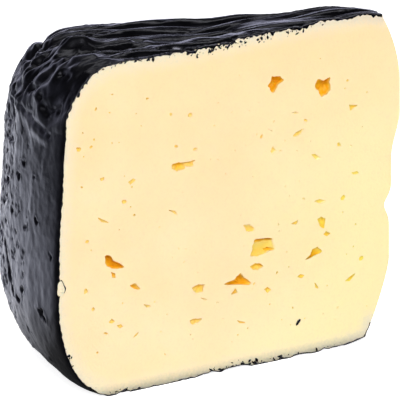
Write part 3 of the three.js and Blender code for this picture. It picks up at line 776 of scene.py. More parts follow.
def eye_points(way, eye, side, seed):
    """A ball made into an eye.

    In the cut face it reaches out to the straight edges between the eye's corners, softened a little. Below
    the face it narrows in steep uneven walls, leans to one side and ends in a lumpy floor.
    """
    r, z, depth, corners = eye
    bearing = np.arctan2(way[:, 1], way[:, 0])
    flat = np.hypot(way[:, 0], way[:, 1])
    shifts = np.radians((-EYE_SHAPE["soften"], 0.0, EYE_SHAPE["soften"]))
    wrapped = [(bearing + t + np.pi) % (2 * np.pi) - np.pi for t in shifts]
    size = max(c[1] for c in corners)
    reach = sum(straight_reach(w, corners) for w in wrapped) / len(shifts)
    reach = reach * (EYE_SHAPE["swell"] if size < EYE_SHAPE["small"] else 1)
    phase = 2 * np.pi * scatter(float(seed), np.arange(1.0, 8.0), side + 2.0)
    long, short = EYE_SHAPE["ripples"]
    reach = reach * (1 + long * np.cos(6 * bearing + phase[4]) + short * np.cos(10 * bearing + phase[5]))
    rough = 1 + EYE_SHAPE["uneven"] * np.cos(6 * way[:, 2] + 3 * bearing + phase[0]) * np.abs(way[:, 2])
    scale = reach * rough * flat ** EYE_SHAPE["steep"]
    lean = EYE_SHAPE["lean"] * size * way[:, 2] ** 2
    in_r = r - np.cos(bearing) * scale + lean * math.cos(phase[1])
    in_z = z + np.sin(bearing) * scale + lean * math.sin(phase[1])
    broad, fine = EYE_SHAPE["lumps"]
    lumps = 1 + broad * np.cos(2 * bearing + phase[2]) * flat + fine * np.cos(5 * bearing + phase[3]) * flat
    points = leaning_out(placed(in_r, in_z, float(side)), side, way[:, 2] * depth * lumps)
    points[:, 1] -= side * knife_wave(np.array(r), np.array(z), float(side))
    return points


def scattered_eyes(field, side, taken):
    """Eyes at seeded places, many small and a few large, kept clear of each other and of those taken.

    Each has five to eight corners on a leaning ellipse, moved in and out by chance.
    """
    draw = np.random.default_rng(field["seed"] + side)
    eyes = []
    held = [(r, z, SCATTERED["taken"] * max(reach for _, reach in corners)) for r, z, _, corners in taken]
    while len(eyes) < field["count"]:
        r, z = draw.uniform(*field["r"]), draw.uniform(*field["z"])
        wide = field["least"] + (field["most"] - field["least"]) * draw.random() ** field["rarity"]
        thin, turn = draw.uniform(*SCATTERED["thin"]), draw.normal(*SCATTERED["turn"])
        count = int(draw.integers(*SCATTERED["corners"]))
        bearings = np.arange(count) * 360 / count - 180 + draw.uniform(0, SCATTERED["stray"] / count, count)
        about = np.radians(bearings - turn)
        oval = wide / 2 / np.hypot(np.cos(about), np.sin(about) / thin)
        reach = oval * draw.uniform(*SCATTERED["uneven"], count)
        depth = draw.uniform(*SCATTERED["depth"]) * wide ** SCATTERED["depth_power"]
        if all(math.hypot(r - a, z - b) > SCATTERED["apart"] * (wide + other) for a, b, other in held):
            corners = tuple((float(b), float(q)) for b, q in zip(bearings, reach))
            eyes.append((r, z, depth, corners))
            held.append((r, z, wide))
    return eyes


def eye_cutter(name, eyes, side, steps):
    """One object that holds all the given eyes of one face."""
    way, faces = ball(steps)
    shapes = [eye_points(way, eye, side, k + 1) for k, eye in enumerate(eyes)]
    mesh = make_mesh(name, *joined_balls(shapes, faces))
    face_outward(mesh)
    return make_piece(name, mesh, None)


def paste_body(wax):
    """The closed body of paste, a little inside the wax's outer face.

    The outline is swept across the wedge, and each cut face is a set of rings drawn in from its outline to
    its middle. Vertices are laid out ring by ring from the back face's middle to the front one's.
    """
    waxed, bare = section_parts()
    wax_run, bare_run = (resampled(part, [0.0])[1] for part in (waxed, bare))
    along = np.linspace(0, wax_run, int(wax_run / PASTE["step"]))
    on_wax, _ = resampled(waxed, along)
    on_bare, _ = resampled(bare, np.linspace(0, bare_run, int(bare_run / PASTE["step"]))[1:-1])
    waxed_share = np.concatenate([np.ones(len(on_wax)), np.zeros(len(on_bare))])
    outline = np.concatenate([on_wax, on_bare])
    along = np.concatenate([along, np.full(len(on_bare), wax_run)])
    out = outward(outline)
    floor = PASTE["floor"] + PASTE["lift"] * waxed_share

    def section(across):
        r, z = outline[:, 0], outline[:, 1]
        if abs(across) == 1:
            lift = waxed_share * (wax_relief(r, z, along, across, wax) - PASTE["under"])
        else:
            lift = waxed_share * (solid_relief(r, z, along, across) - PASTE["deep"])
        return r + lift * out[:, 0], np.maximum(floor, z + lift * out[:, 1])

    def row(r, z, across):
        return with_cut(placed(r, z, across), r, z, across)

    def face_rows(across):
        r, z = section(across)
        rings = int(PASTE["depth"] / PASTE["step"])
        shares = (np.arange(1, rings) / rings) ** PASTE["crowding"]
        middle_r, middle_z = FACE_MIDDLE
        return [row(middle_r + (r - middle_r) * s, middle_z + (z - middle_z) * s, across) for s in shares]

    columns = (-1.0, *np.linspace(-PASTE["last"], PASTE["last"], PASTE["columns"]), 1.0)
    rows = face_rows(-1.0) + [row(*section(a), a) for a in columns] + face_rows(1.0)[::-1]
    middle = [row(*(np.array([x]) for x in FACE_MIDDLE), a)[0] for a in (-1.0, 1.0)]
    size = len(outline)
    faces = grid_faces(len(rows), size, closed=True).tolist()
    back, front = len(rows) * size, len(rows) * size + 1
    last = (len(rows) - 1) * size
    for k in range(size):
        faces.append((back, (k + 1) % size, k))
        faces.append((front, last + k, last + (k + 1) % size))
    mesh = make_mesh("paste", np.concatenate([*rows, middle]), faces)
    face_outward(mesh)
    return mesh


def rind_outline():
    """The outline of the wax at the cut faces, as dense points: where the paste ends."""
    waxed, _ = section_parts()
    _, run = resampled(waxed, [0.0])
    points, _ = resampled(waxed, np.linspace(0, run, 400))
    return points


def cut_depth(points, side):
    """How deep points in millimetres lie behind the plane of a cut face."""
    origin = placed(0.0, 0.0, side)
    normal = np.array([math.sin(HALF_ANGLE), -side * math.cos(HALF_ANGLE), 0.0])
    return (origin - points) @ normal


def mark_paste(mesh):
    """Stores two values of each point in millimetres: its depth in an eye, and how far off the wax is."""
    points = read_values(mesh.vertices, "co", 3) / MM
    kind = read_values(mesh.polygons, "material_index", kind=np.int32)
    corners = read_values(mesh.loops, "vertex_index", kind=np.int32)
    totals = read_values(mesh.polygons, "loop_total", kind=np.int32)
    plain = np.zeros(len(points), bool)
    plain[corners[np.repeat(kind == 0, totals)]] = True
    depth = np.minimum(cut_depth(points, 1.0), cut_depth(points, -1.0))
    depth = np.where(plain, 0.0, np.maximum(0.0, depth))
    r = np.hypot(points[:, 0] - WHEEL_AXIS[0], points[:, 1] - WHEEL_AXIS[1])
    outline = rind_outline()
    gap = np.empty(len(points))
    for start in range(0, len(points), BATCH):
        part = slice(start, start + BATCH)
        away = np.hypot(r[part, None] - outline[None, :, 0], points[part, 2][:, None] - outline[None, :, 1])
        gap[part] = away.min(1)
    for name, values in (("eye_depth", depth), ("rind_gap", gap)):
        attribute = mesh.attributes.new(name, "FLOAT", "POINT")
        attribute.data.foreach_set("value", values.astype(np.float32))
    mesh.polygons.foreach_set("material_index", np.zeros(len(mesh.polygons), np.int32))
    mesh.update()


def ragged(along, side, wax):
    """How deep the wax's cut edge reaches: thick on top, thin below, toothed, and dragged in by patches."""
    def teeth(name):
        height, length, row, seed = TEETH[name]
        return height * slope_noise(along / length, 0 * along + row, seed + side)

    base = wax.thickness * np.interp(along, *np.array(CUT_WAX).T)
    rough = teeth("short") + teeth("long")
    torn = np.maximum(0.0, teeth("tears")) ** TORN["power"]
    patch = smooth(teeth("patches") + 0.5)
    on_top = smooth((TORN["top"] - along) / TORN["over"])
    reach = TORN["reach"] + TORN["further"] * on_top * patch
    return np.maximum(TORN["least"], base * (1 + rough) + reach * torn - TORN["less"])


def wax_rows(run):
    """Running lengths of the wax's rows: close on top, shoulder and rim, wider below and under the wedge."""
    parts = [np.arange(*stretch) for stretch in WAX_ROWS]
    return np.concatenate([*parts, np.linspace(WAX_ROWS[-1][1], run, BASE_ROWS)])


def wax_shell(wax):
    """The wax as a closed tube of rings.

    Each ring runs over the outer face from the back cut to the front one, turns in over the front cut edge,
    comes back under the wax and turns out over the back cut edge. Many-sided faces close its ends at the tip.
    """
    waxed, _ = section_parts()
    _, run = resampled(waxed, [0.0])
    along = wax_rows(run)
    outline, _ = resampled(waxed, along)
    out = outward(outline)
    u = np.linspace(-1, 1, WAX_COLUMNS)
    across = (u * (1 + CROWDED - CROWDED * u ** 2))[None, :]
    r, z, a = outline[:, :1], outline[:, 1:], along[:, None]
    lateral = r * across * HALF_ANGLE
    lift = wax_relief(r, z, a, across, wax)
    near_cut = (1 - np.abs(across)) * HALF_ANGLE * r
    lift = lift + smooth(near_cut / CLEAR_OF_CUT) * pits(a + 0 * lateral, lateral, wax)
    r_out = r + lift * out[:, :1]
    z_out = np.maximum(0.0, z + lift * out[:, 1:])
    outer = with_cut(placed(r_out, z_out, across), r_out, z_out, across + 0 * r)

    def cut_rows(side, column):
        depth = ragged(along, side, wax)
        rows = []
        for share, stand in CUT_ROWS:
            in_r = r_out[:, column] - share * depth * out[:, 0]
            in_z = z_out[:, column] - share * depth * out[:, 1]
            row = with_cut(placed(in_r, in_z, side), in_r, in_z, side + 0 * in_r)
            rows.append(leaning_out(row, side, stand))
        return rows

    in_r, in_z = (outline - INNER_SIDE["depth"] * out).T
    clear = 1 - INNER_SIDE["clear"] / np.maximum(INNER_SIDE["least"], in_r)
    shares = np.linspace(INNER_SIDE["last"], -INNER_SIDE["last"], INNER_SIDE["rows"])
    under = [placed(in_r, in_z, share * clear) for share in shares]
    ring = [outer[:, k] for k in range(WAX_COLUMNS)] + cut_rows(1.0, -1) + under + cut_rows(-1.0, 0)[::-1]
    points = np.stack(ring, 1)
    rows, size = points.shape[:2]
    faces = grid_faces(rows, size, closed=True).tolist()
    faces.append(tuple(range(size))[::-1])
    faces.append(tuple(range((rows - 1) * size, rows * size)))
    mesh = make_mesh("rind_coat", points.reshape(-1, 3), faces)
    face_outward(mesh)
    return mesh


def crumb_spots(side, count):
    """Where crumbs lie: running length, distance inside the outline and size, in seeded clusters."""
    draw = np.random.default_rng(CRUMB["seeds"][0] + int(side))
    stretch, shift = (1, 0) if side > 0 else (BACK_CLUSTERS["stretch"], BACK_CLUSTERS["shift"])
    shares = np.array([c[2] for c in CRUMB_CLUSTERS], float)
    spots = []
    for _ in range(count):
        cluster = CRUMB_CLUSTERS[draw.choice(len(CRUMB_CLUSTERS), p=shares / shares.sum())]
        middle, spread, _, reach = cluster
        off = CRUMB["off"] + CRUMB["reach"] * reach * draw.random() ** CRUMB["near"]
        along = middle * stretch + shift + spread * draw.normal()
        spots.append((along, off, CRUMB["least"] + CRUMB["spread"] * draw.random() ** CRUMB["rarity"]))
    return spots


def crumb_mesh(wax):
    """Crumbs of wax on both cut faces: squashed uneven balls, most of them close inside the rind, and the
    flake's painted shadow.
    """
    way, faces = ball(CRUMB_STEPS)
    waxed, _ = section_parts()
    _, run = resampled(waxed, [0.0])
    draw = np.random.default_rng(CRUMB["seeds"][1])
    placings = []
    for side in (1.0, -1.0):
        for along, off, size in crumb_spots(side, wax.crumb_count // 2):
            spot, _ = resampled(waxed, np.clip(np.array([along - 0.5, along, along + 0.5]), 0, run))
            lift = wax_relief(spot[1, 0], spot[1, 1], along, side, wax)
            placings.append((*(spot[1] + (lift - off) * outward(spot)[1]), side, size, CRUMB["stray"]))
    placings += [(r, z, 1.0, size, 0.0) for r, z, size in PLACED_CRUMBS]
    shapes = []
    for r, z, side, size, stray in placings:
        shape = size * draw.uniform(*CRUMB["shape"])
        turn = draw.normal(CRUMB["turn"], stray)
        local = way * draw.uniform(*CRUMB["uneven"], (len(way), 1)) * shape
        in_r = r - (local[:, 0] * math.cos(turn) - local[:, 1] * math.sin(turn))
        in_z = np.maximum(0.05, z + local[:, 0] * math.sin(turn) + local[:, 1] * math.cos(turn))
        grain = with_cut(placed(in_r, in_z, side), in_r, in_z, np.full(len(way), side))
        shapes.append(leaning_out(grain, side, CRUMB["flat"] * local[:, 2] + CRUMB["stand"]))
    # The flake's painted shadow: a thin dark thread of black wax round its side.
    shapes.append(flake_shadow_thread(way))
    return make_mesh("wax_crumbs_and_flake_shadow", *joined_balls(shapes, faces))


def flake_outline(bearing):
    """The flake's uneven oval: r and z at each bearing, 0 to the tip and a quarter turn up."""
    uneven = 1 + 0.1 * np.cos(3 * bearing + 1) + 0.06 * np.cos(5 * bearing)
    return (FLAKE["r"] - FLAKE["wide"] / 2 * np.cos(bearing) * uneven,
            FLAKE["z"] + FLAKE["high"] / 2 * np.sin(bearing) * uneven)


def flake_shadow_thread(way):
    """A painted shadow round the flake's side to the tip: a thin dark thread of black wax, a ball drawn out
    along the flake's outline.
    """
    bearing = math.radians(FLAKE_SHADOW_THREAD["bearing"]) + math.radians(FLAKE_SHADOW_THREAD["reach"]) * way[:, 0]
    r, z = flake_outline(bearing)
    thick = FLAKE_SHADOW_THREAD["thick"] * (1 + 0.5 * np.cos(4 * bearing))
    r = r - thick * way[:, 1] * np.cos(bearing) - FLAKE_SHADOW_THREAD["inset"]
    z = z + thick * way[:, 1] * np.sin(bearing)
    thread = with_cut(placed(r, z, 1.0), r, z, np.ones(len(way)))
    return leaning_out(thread, 1.0, FLAKE_SHADOW_THREAD["flat"] * way[:, 2] + FLAKE_SHADOW_THREAD["stand"])


def flake_mesh():
    """A flake of paste that lies over the rind's cut edge: a thin upright uneven disc."""
    way, faces = ball(FLAKE_STEPS)
    flat = np.hypot(way[:, 0], way[:, 1])
    edge_r, edge_z = flake_outline(np.arctan2(way[:, 1], way[:, 0]))
    in_r, in_z = FLAKE["r"] + flat * (edge_r - FLAKE["r"]), FLAKE["z"] + flat * (edge_z - FLAKE["z"])
    points = with_cut(placed(in_r, in_z, 1.0), in_r, in_z, np.ones(len(way)))
    stand = FLAKE["thick"] * way[:, 2] * (1 + 0.25 * np.cos(7 * in_z)) + FLAKE["stand"]
    mesh = make_mesh("paste_flake", leaning_out(points, 1.0, stand), faces)
    face_outward(mesh)
    return mesh


# ---------------------------------------------------------------- materials

def new_material(name):
    """An empty node material with its surface shader."""
    material = bpy.data.materials.new(name)
    material.use_nodes = True
    tree = material.node_tree
    shader = tree.nodes["Principled BSDF"]
    return material, tree, shader


def node(tree, kind, **values):
    """A node with its settings, and its inputs set by name."""
    made = tree.nodes.new(kind)
    inputs = values.pop("inputs", {})
    for key, value in values.items():
        setattr(made, key, value)
    for key, value in inputs.items():
        made.inputs[key].default_value = value
    return made


def speckle_group():
    """A node group that both finishes use: broad and fine noise on Object coordinates, from 0 to 1."""
    group = bpy.data.node_groups.new("uneven surface", "ShaderNodeTree")
    for name, default in (("Broad Scale", 60.0), ("Fine Scale", 900.0)):
        socket = group.interface.new_socket(name, in_out="INPUT", socket_type="NodeSocketFloat")
        socket.default_value = default
    for name in ("Broad", "Fine"):
        group.interface.new_socket(name, in_out="OUTPUT", socket_type="NodeSocketFloat")
    enter = group.nodes.new("NodeGroupInput")
    leave = group.nodes.new("NodeGroupOutput")
    place = group.nodes.new("ShaderNodeTexCoord")
    for name, detail in (("Broad", 3.0), ("Fine", 5.0)):
        noise = node(group, "ShaderNodeTexNoise", inputs={"Detail": detail, "Roughness": 0.55})
        group.links.new(place.outputs["Object"], noise.inputs["Vector"])
        group.links.new(enter.outputs[f"{name} Scale"], noise.inputs["Scale"])
        group.links.new(noise.outputs["Fac"], leave.inputs[name])
    return group


def ramp(tree, source, stops):
    """A colour ramp fed by a socket: stops are pairs of place and colour."""
    made = tree.nodes.new("ShaderNodeValToRGB")
    elements = made.color_ramp.elements
    while len(elements) < len(stops):
        elements.new(0.5)
    for element, (place, colour) in zip(elements, stops):
        element.position = place
        element.color = (*colour, 1.0)
    tree.links.new(source, made.inputs["Fac"])
    return made.outputs["Color"]


def mixed(tree, factor, first, second, mode="MIX"):
    """A mix of two colours, each a socket or a plain colour."""
    made = node(tree, "ShaderNodeMix", data_type="RGBA", blend_type=mode)
    tree.links.new(factor, made.inputs[0])
    for index, colour in ((6, first), (7, second)):
        if isinstance(colour, tuple):
            made.inputs[index].default_value = (*colour, 1.0)
        else:
            tree.links.new(colour, made.inputs[index])
    return made.outputs[2]


def level(tree, source, low, high, bottom=0.0, top=1.0, **settings):
    """A value from bottom to top as the source goes from low to high, held level outside."""
    sizes = {"From Min": low, "From Max": high, "To Min": bottom, "To Max": top}
    made = node(tree, "ShaderNodeMapRange", inputs=sizes, **settings)
    tree.links.new(source, made.inputs["Value"])
    return made.outputs["Result"]


def reckoned(tree, operation, *terms):
    """A value worked out from terms, each a socket or a plain number."""
    made = node(tree, "ShaderNodeMath", operation=operation)
    for socket, term in zip(made.inputs, terms):
        if isinstance(term, float):
            socket.default_value = term
        else:
            tree.links.new(term, socket)
    return made.outputs[0]


def coordinates(tree, kind="Object"):
    """The texture coordinate itself, and its X, Y and Z."""
    place = tree.nodes.new("ShaderNodeTexCoord").outputs[kind]
    apart = tree.nodes.new("ShaderNodeSeparateXYZ")
    tree.links.new(place, apart.inputs[0])
    return place, apart.outputs


def uneven_surface(tree, group, broad_scale, fine_scale):
    """The broad and fine values of the shared group at the given scales."""
    made = node(tree, "ShaderNodeGroup", node_tree=group)
    made.inputs["Broad Scale"].default_value = broad_scale
    made.inputs["Fine Scale"].default_value = fine_scale
    return made.outputs["Broad"], made.outputs["Fine"]


def bumped(tree, shader, height, strength):
    """A fine bump of 0.2 mm from a height."""
    bump = node(tree, "ShaderNodeBump", inputs={"Strength": strength, "Distance": 0.0002})
    tree.links.new(height, bump.inputs["Height"])
    tree.links.new(bump.outputs["Normal"], shader.inputs["Normal"])


def paste_material(paste, group):
    """Butter-coloured paste, mottled, with light under its skin.

    It is paler towards the bottom, a painted bounce of light from the floor, yellower where the wedge is thin
    by the tip, whitish close to the wax, greyish just above the underside, partly dirt and partly painted
    shade, and ochre to amber in the eyes, the deeper the redder and darker, as painted shade and light bounced
    inside them.
    """
    material, tree, shader = new_material("cheese paste")
    link = tree.links.new
    broad, fine = uneven_surface(tree, group, 45.0, 1400.0)
    _, at = coordinates(tree)
    # Broad mottling, paler towards the bottom: the height term is a painted bounce of light from the floor.
    shade = reckoned(tree, "ADD", broad, level(tree, at["Z"], 0.09, 0.0, -0.2, 0.35))
    body = ramp(tree, shade, ((0.25, tuple(paste.warm_colour)), (0.95, tuple(paste.cool_colour))))
    tipward = level(tree, at["X"], 0.0, 0.045)
    thin = reckoned(tree, "MULTIPLY", tipward, level(tree, at["Z"], 0.09, 0.045, 0.0, 0.9))
    body = mixed(tree, thin, body, tuple(paste.tip_colour))
    gap = node(tree, "ShaderNodeAttribute", attribute_name="rind_gap").outputs["Fac"]
    strayed = reckoned(tree, "ADD", gap, reckoned(tree, "MULTIPLY_ADD", fine, 5.0, -2.5))
    body = mixed(tree, level(tree, strayed, 5.0, 0.4, 0.0, 0.9), body, tuple(paste.rind_side_colour))
    # Greyish just above the underside: partly dirt at the foot, partly painted shade where the wedge meets the
    # floor.
    stray = reckoned(tree, "MULTIPLY_ADD", fine, 0.5, -0.25)
    height = reckoned(tree, "ADD", level(tree, at["Z"], 0.0, 0.0036), stray)
    foot = ramp(tree, height, [(place, (share,) * 3) for place, share in FOOT_DIRT_AND_SHADE_FADE])
    body = mixed(tree, foot, body, tuple(paste.foot_dirt_and_shade_colour))
    # Eye walls redder and darker the deeper they lie: painted shade and painted light bounced inside the eyes.
    depth = node(tree, "ShaderNodeAttribute", attribute_name="eye_depth").outputs["Fac"]
    wall = ramp(tree, reckoned(tree, "MULTIPLY", depth, 0.6), EYE_WALL_PAINTED_LIGHT)
    wall = mixed(tree, thin, wall, THIN_EYE_TINT, "MULTIPLY")
    link(mixed(tree, level(tree, depth, 0.02, 0.22), body, wall), shader.inputs["Base Color"])
    link(level(tree, fine, 0.0, 1.0, 0.42, 0.62), shader.inputs["Roughness"])
    bumped(tree, shader, fine, 0.25)
    shader.inputs["Subsurface Weight"].default_value = 0.2
    shader.inputs["Subsurface Radius"].default_value = (1.0, 0.55, 0.2)
    shader.inputs["Subsurface Scale"].default_value = 0.0018
    shader.inputs["Specular IOR Level"].default_value = 0.35
    return material


def wax_material(wax, group):
    """Black cheese wax: nearly black with a blue cast, satin, duller towards the rim, with rubbed spots."""
    material, tree, shader = new_material("black wax")
    link = tree.links.new
    broad, fine = uneven_surface(tree, group, 160.0, 1500.0)
    _, at = coordinates(tree)
    colour = ramp(tree, broad, ((0.3, tuple(wax.colour)), (0.75, tuple(wax.rubbed_colour))))
    link(colour, shader.inputs["Base Color"])
    handled = level(tree, at["X"], -0.022, -0.044, 0.0, 0.09)
    rough = reckoned(tree, "ADD", level(tree, broad, 0.25, 0.75, 0.17, 0.28), handled)
    link(rough, shader.inputs["Roughness"])
    bumped(tree, shader, fine, 0.2)
    shader.inputs["Specular IOR Level"].default_value = 0.62
    shader.inputs["Specular Tint"].default_value = (0.86, 0.865, 1.0, 1.0)
    return material


def floor_material():
    """Plain pale floor, white to the camera. In the wax it shines behind the wedge and is dark before it."""
    material, tree, shader = new_material("pale floor")
    link = tree.links.new
    place, at = coordinates(tree)
    path = tree.nodes.new("ShaderNodeLightPath").outputs
    mirrored = ramp(tree, level(tree, at["X"], -0.34, 0.04), FLOOR_MIRRORED)
    mirrored = mixed(tree, level(tree, at["Y"], -0.04, 0.08), FLOOR_BEFORE, mirrored)
    link(mixed(tree, path["Is Glossy Ray"], FLOOR_COLOUR, mirrored), shader.inputs["Base Color"])
    far = node(tree, "ShaderNodeVectorMath", operation="LENGTH")
    link(place, far.inputs[0])
    rising = level(tree, at["X"], -0.33, 0.16, 0.0, 2.6, interpolation_type="SMOOTHSTEP")
    near, distant = level(tree, at["Y"], 0.0, 0.07), level(tree, at["Y"], 0.33, 0.8, 1.0, 0.28)
    behind = reckoned(tree, "MULTIPLY", rising, reckoned(tree, "MULTIPLY", near, distant))
    seen = node(tree, "ShaderNodeMix", data_type="FLOAT")
    link(path["Is Camera Ray"], seen.inputs[0])
    link(behind, seen.inputs[2])
    link(level(tree, far.outputs["Value"], 0.06, 0.3, 0.85, 1.0), seen.inputs[3])
    link(seen.outputs[0], shader.inputs["Emission Strength"])
    tint = mixed(tree, level(tree, at["X"], -0.12, 0.0), *GLOW_TINTS)
    link(mixed(tree, path["Is Camera Ray"], tint, (1.0, 1.0, 1.0)), shader.inputs["Emission Color"])
    shader.inputs["Roughness"].default_value = 0.9
    shader.inputs["Specular IOR Level"].default_value = 0.1
    return material


# ---------------------------------------------------------------- settings

class TOMME_PG_paste(bpy.types.PropertyGroup):
    """Colours of the paste."""

    warm_colour: FloatVectorProperty(
        name="Warm colour", description="Colour of the paste where it is warmest", subtype="COLOR",
        default=(0.95, 0.70, 0.39), min=0, max=1)
    cool_colour: FloatVectorProperty(
        name="Cool colour", description="Colour of the paste where it is palest", subtype="COLOR",
        default=(0.96, 0.78, 0.485), min=0, max=1)
    # Partly dirt, partly painted shade where the wedge meets the floor.
    foot_dirt_and_shade_colour: FloatVectorProperty(
        name="Dirt and shade colour at the foot", description="Greyish colour of the paste just above the wheel's underside",
        subtype="COLOR", default=(0.4, 0.365, 0.265), min=0, max=1)
    tip_colour: FloatVectorProperty(
        name="Colour by the tip", description="Colour of the paste where the wedge is thin", subtype="COLOR",
        default=(0.95, 0.82, 0.44), min=0, max=1)
    rind_side_colour: FloatVectorProperty(
        name="Colour by the rind", description="Whitish colour of the paste close to the wax",
        subtype="COLOR", default=(0.88, 0.765, 0.56), min=0, max=1)


class TOMME_PG_wax(bpy.types.PropertyGroup):
    """Sizes and colours of the wax coat."""

    thickness: FloatProperty(
        name="Thickness", description="Share of the wax's measured depth at its cut edges", default=1.0)
    fold_height: FloatProperty(
        name="Fold height", description="Height of the folds on top and shoulder", unit="LENGTH",
        default=0.0009)
    lump_height: FloatProperty(
        name="Lump height", description="Height of the lumps on the rim", unit="LENGTH", default=0.001)
    peel_height: FloatProperty(
        name="Peel height", description="Height of the finest relief", unit="LENGTH", default=0.00004)
    edge_round: FloatProperty(
        name="Edge rounding", description="How far the wax bends in at a cut", unit="LENGTH", default=0.0005)
    edge_width: FloatProperty(
        name="Edge width", description="How far from a cut the wax starts to bend in", unit="LENGTH",
        default=0.004)
    pit_count: IntProperty(
        name="Pits", description="Number of pits in the rim and shoulder", default=300)
    crumb_count: IntProperty(
        name="Crumbs", description="Number of wax crumbs on both cut faces", default=460)
    colour: FloatVectorProperty(
        name="Colour", description="Colour of the wax", subtype="COLOR",
        default=(0.0004, 0.0004, 0.0008), min=0, max=1)
    rubbed_colour: FloatVectorProperty(
        name="Rubbed colour", description="Colour of the wax where it is rubbed", subtype="COLOR",
        default=(0.0013, 0.0012, 0.002), min=0, max=1)


class TOMME_PG_stage(bpy.types.PropertyGroup):
    """Place and lens of the camera."""

    azimuth: FloatProperty(
        name="Azimuth", description="How far left of the wedge's front the camera stands", subtype="ANGLE",
        default=math.radians(18.02))
    elevation: FloatProperty(
        name="Elevation", description="How far the camera looks down", subtype="ANGLE",
        default=math.radians(15.29))
    roll: FloatProperty(
        name="Roll", description="How far the camera leans", subtype="ANGLE", default=math.radians(-0.716))
    distance: FloatProperty(
        name="Distance", description="From the camera to the middle of the wedge", unit="LENGTH",
        default=1.1161)
    lens: FloatProperty(
        name="Lens", description="Focal length in millimetres on a 36 mm sensor", default=360.9)


# ---------------------------------------------------------------- operators

class TOMME_OT_paste(bpy.types.Operator):
    """Build the paste with its eyes and put it in the solid's place"""

    bl_idname = "tomme.paste"
    bl_label = "Paste"

    def execute(self, context):
        plain, wall = (bpy.data.materials.new(name) for name in ("plain", "wall"))
        piece = make_piece("paste", paste_body(context.scene.tomme_wax), plain)
        back = scattered_eyes(BACK_EYES, -1, [])
        groups = (
            ("front eyes", FRONT_EYES[0::2], 1, EYE_STEPS),
            ("front eyes between", FRONT_EYES[1::2], 1, EYE_STEPS),
            ("back eyes", back, -1, EYE_STEPS),
            ("front pinholes", scattered_eyes(PINHOLES, 1, FRONT_EYES), 1, PINHOLE_STEPS),
            ("back pinholes", scattered_eyes(PINHOLES, -1, back), -1, PINHOLE_STEPS),
        )
        cutters = [eye_cutter(*group) for group in groups]
        for cutter in cutters:
            cutter.data.materials.append(wall)
            bite = piece.modifiers.new(cutter.name, "BOOLEAN")
            bite.operation = "DIFFERENCE"
            bite.solver = "MANIFOLD"
            bite.object = cutter
            bite.material_mode = "TRANSFER"
        graph = context.evaluated_depsgraph_get()
        bitten = bpy.data.meshes.new_from_object(piece.evaluated_get(graph))
        bitten.name = "paste"
        piece.modifiers.clear()
        piece.data = bitten
        for cutter in cutters:
            data = cutter.data
            bpy.data.objects.remove(cutter)
            bpy.data.meshes.remove(data)
        mark_paste(bitten)
        bitten.materials.clear()
        bitten.materials.append(paste_material(context.scene.tomme_paste, speckle_group()))
        for material in (plain, wall):
            bpy.data.materials.remove(material)
        shade_smooth(bitten, 38)
        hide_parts(NODE)
        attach(piece, BODY)
        return {"FINISHED"}


class TOMME_OT_rind(bpy.types.Operator):
    """Build the wrinkled wax coat over the top, rim and underside"""

    bl_idname = "tomme.rind"
    bl_label = "Wax coat"

    def execute(self, context):
        wax = context.scene.tomme_wax
        mesh = wax_shell(wax)
        piece = make_piece("rind_coat", mesh, wax_material(wax, bpy.data.node_groups["uneven surface"]))
        shade_smooth(mesh, 70)
        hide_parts(NODE)
        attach(piece, BODY)
        return {"FINISHED"}


class TOMME_OT_crumbs(bpy.types.Operator):
    """Scatter crumbs of wax on the cut faces, with a thin dark thread as the flake's painted shadow, and stick
    a flake of paste on the rind's edge
    """

    bl_idname = "tomme.crumbs"
    bl_label = "Wax crumbs and flake shadow"

    def execute(self, context):
        wax = context.scene.tomme_wax
        piece = make_piece("wax_crumbs_and_flake_shadow", crumb_mesh(wax), bpy.data.materials["black wax"])
        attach(piece, BODY)
        flake = make_piece("paste_flake", flake_mesh(), bpy.data.materials["cheese paste"])
        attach(flake, BODY)
        return {"FINISHED"}


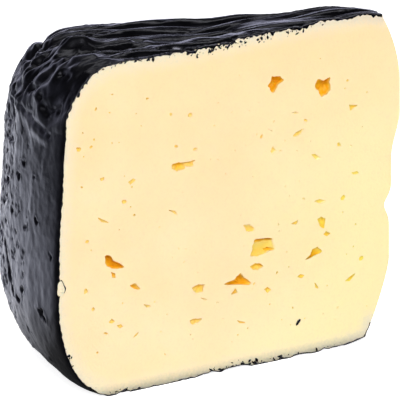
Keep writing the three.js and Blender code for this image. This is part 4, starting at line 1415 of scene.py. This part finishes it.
class TOMME_OT_stage(bpy.types.Operator):
    """Set up the floor, the lights and the camera"""

    bl_idname = "tomme.stage"
    bl_label = "Stage"

    def execute(self, context):
        scene = context.scene
        scene.view_settings.view_transform = "Standard"
        corners = [(FLOOR_HALF * x, FLOOR_HALF * y, 0) for x, y in ((-1, -1), (1, -1), (1, 1), (-1, 1))]
        mesh = bpy.data.meshes.new("floor")
        mesh.from_pydata(corners, [], [(0, 1, 2, 3)])
        floor = make_piece("floor", mesh, floor_material())
        self.lights(scene)
        self.world(scene)
        self.camera(scene)
        return {"FINISHED"}

    def lights(self, scene):
        """Soft rectangular lamps that all look at the wedge."""
        for name, place, (wide, high), power in LAMPS:
            data = bpy.data.lights.new(name, "AREA")
            data.shape = "RECTANGLE"
            data.size = wide
            data.size_y = high
            data.energy = power
            lamp = bpy.data.objects.new(name, data)
            lamp.location = place
            lamp.rotation_euler = (Vector(LAMP_AIM) - Vector(place)).to_track_quat("-Z", "Y").to_euler()
            scene.collection.objects.link(lamp)

    def world(self, scene):
        """White to the camera. To all else it is dark before the wedge, and bright and low behind it."""
        world = bpy.data.worlds.new("studio")
        scene.world = world
        world.use_nodes = True
        tree = world.node_tree
        tree.nodes.clear()
        link = tree.links.new
        _, at = coordinates(tree, "Generated")
        height = level(tree, at["Z"], 0.0, 0.75)
        leftward = level(tree, at["X"], 0.05, -0.6)
        behind = mixed(tree, leftward, ramp(tree, height, SKY_BEHIND), ramp(tree, height, SKY_LEFT))
        lit = node(tree, "ShaderNodeBackground", inputs={"Strength": 1.0})
        link(mixed(tree, level(tree, at["Y"], -0.1, 0.7), SKY_BEFORE, behind), lit.inputs["Color"])
        seen = node(tree, "ShaderNodeBackground", inputs={"Color": (1, 1, 1, 1), "Strength": 1.0})
        path = tree.nodes.new("ShaderNodeLightPath")
        mix = tree.nodes.new("ShaderNodeMixShader")
        leave = tree.nodes.new("ShaderNodeOutputWorld")
        link(path.outputs["Is Camera Ray"], mix.inputs[0])
        link(lit.outputs[0], mix.inputs[1])
        link(seen.outputs[0], mix.inputs[2])
        link(mix.outputs[0], leave.inputs["Surface"])

    def camera(self, scene):
        """A long lens that looks down on the front cut face from the left, a little rolled."""
        stage = scene.tomme_stage
        az, el, roll = stage.azimuth, stage.elevation, stage.roll
        forward = Vector((math.sin(az) * math.cos(el), math.cos(az) * math.cos(el), -math.sin(el)))
        level_right = forward.cross(Vector((0, 0, 1))).normalized()
        level_up = level_right.cross(forward)
        right = level_right * math.cos(roll) + level_up * math.sin(roll)
        up = level_up * math.cos(roll) - level_right * math.sin(roll)
        data = bpy.data.cameras.new("camera")
        data.sensor_width = 36.0
        data.lens = stage.lens
        data.clip_end = 20.0
        camera = bpy.data.objects.new("camera", data)
        turn = Matrix((right, up, -forward)).transposed().to_4x4()
        camera.matrix_world = Matrix.Translation(Vector(CAMERA_AIM) - forward * stage.distance) @ turn
        scene.collection.objects.link(camera)
        scene.camera = camera


class TOMME_PT_panel(bpy.types.Panel):
    """The tomme's steps in the sidebar"""

    bl_idname = "TOMME_PT_panel"
    bl_label = "Tomme"
    bl_space_type = "VIEW_3D"
    bl_region_type = "UI"
    bl_category = "Tomme"

    def draw(self, context):
        scene = context.scene
        for operator in STEPS:
            self.layout.operator(operator.bl_idname)
        for group in (scene.tomme_paste, scene.tomme_wax, scene.tomme_stage):
            box = self.layout.box()
            for name in group.__annotations__:
                box.prop(group, name)


GROUPS = {"tomme_paste": TOMME_PG_paste, "tomme_wax": TOMME_PG_wax, "tomme_stage": TOMME_PG_stage}
STEPS = (TOMME_OT_paste, TOMME_OT_rind, TOMME_OT_crumbs, TOMME_OT_stage)
CLASSES = (*GROUPS.values(), *STEPS, TOMME_PT_panel)


def register():
    """Registers the classes and puts the settings on the scene."""
    for cls in CLASSES:
        bpy.utils.register_class(cls)
    for name, cls in GROUPS.items():
        setattr(bpy.types.Scene, name, PointerProperty(type=cls))


def unregister():
    """Takes the settings off the scene and unregisters the classes."""
    for name in GROUPS:
        delattr(bpy.types.Scene, name)
    for cls in reversed(CLASSES):
        bpy.utils.unregister_class(cls)


def main():
    """Builds every piece and the stage."""
    register()
    bpy.ops.tomme.paste()
    bpy.ops.tomme.rind()
    bpy.ops.tomme.crumbs()
    bpy.ops.tomme.stage()


if __name__ == "__main__":
    main()
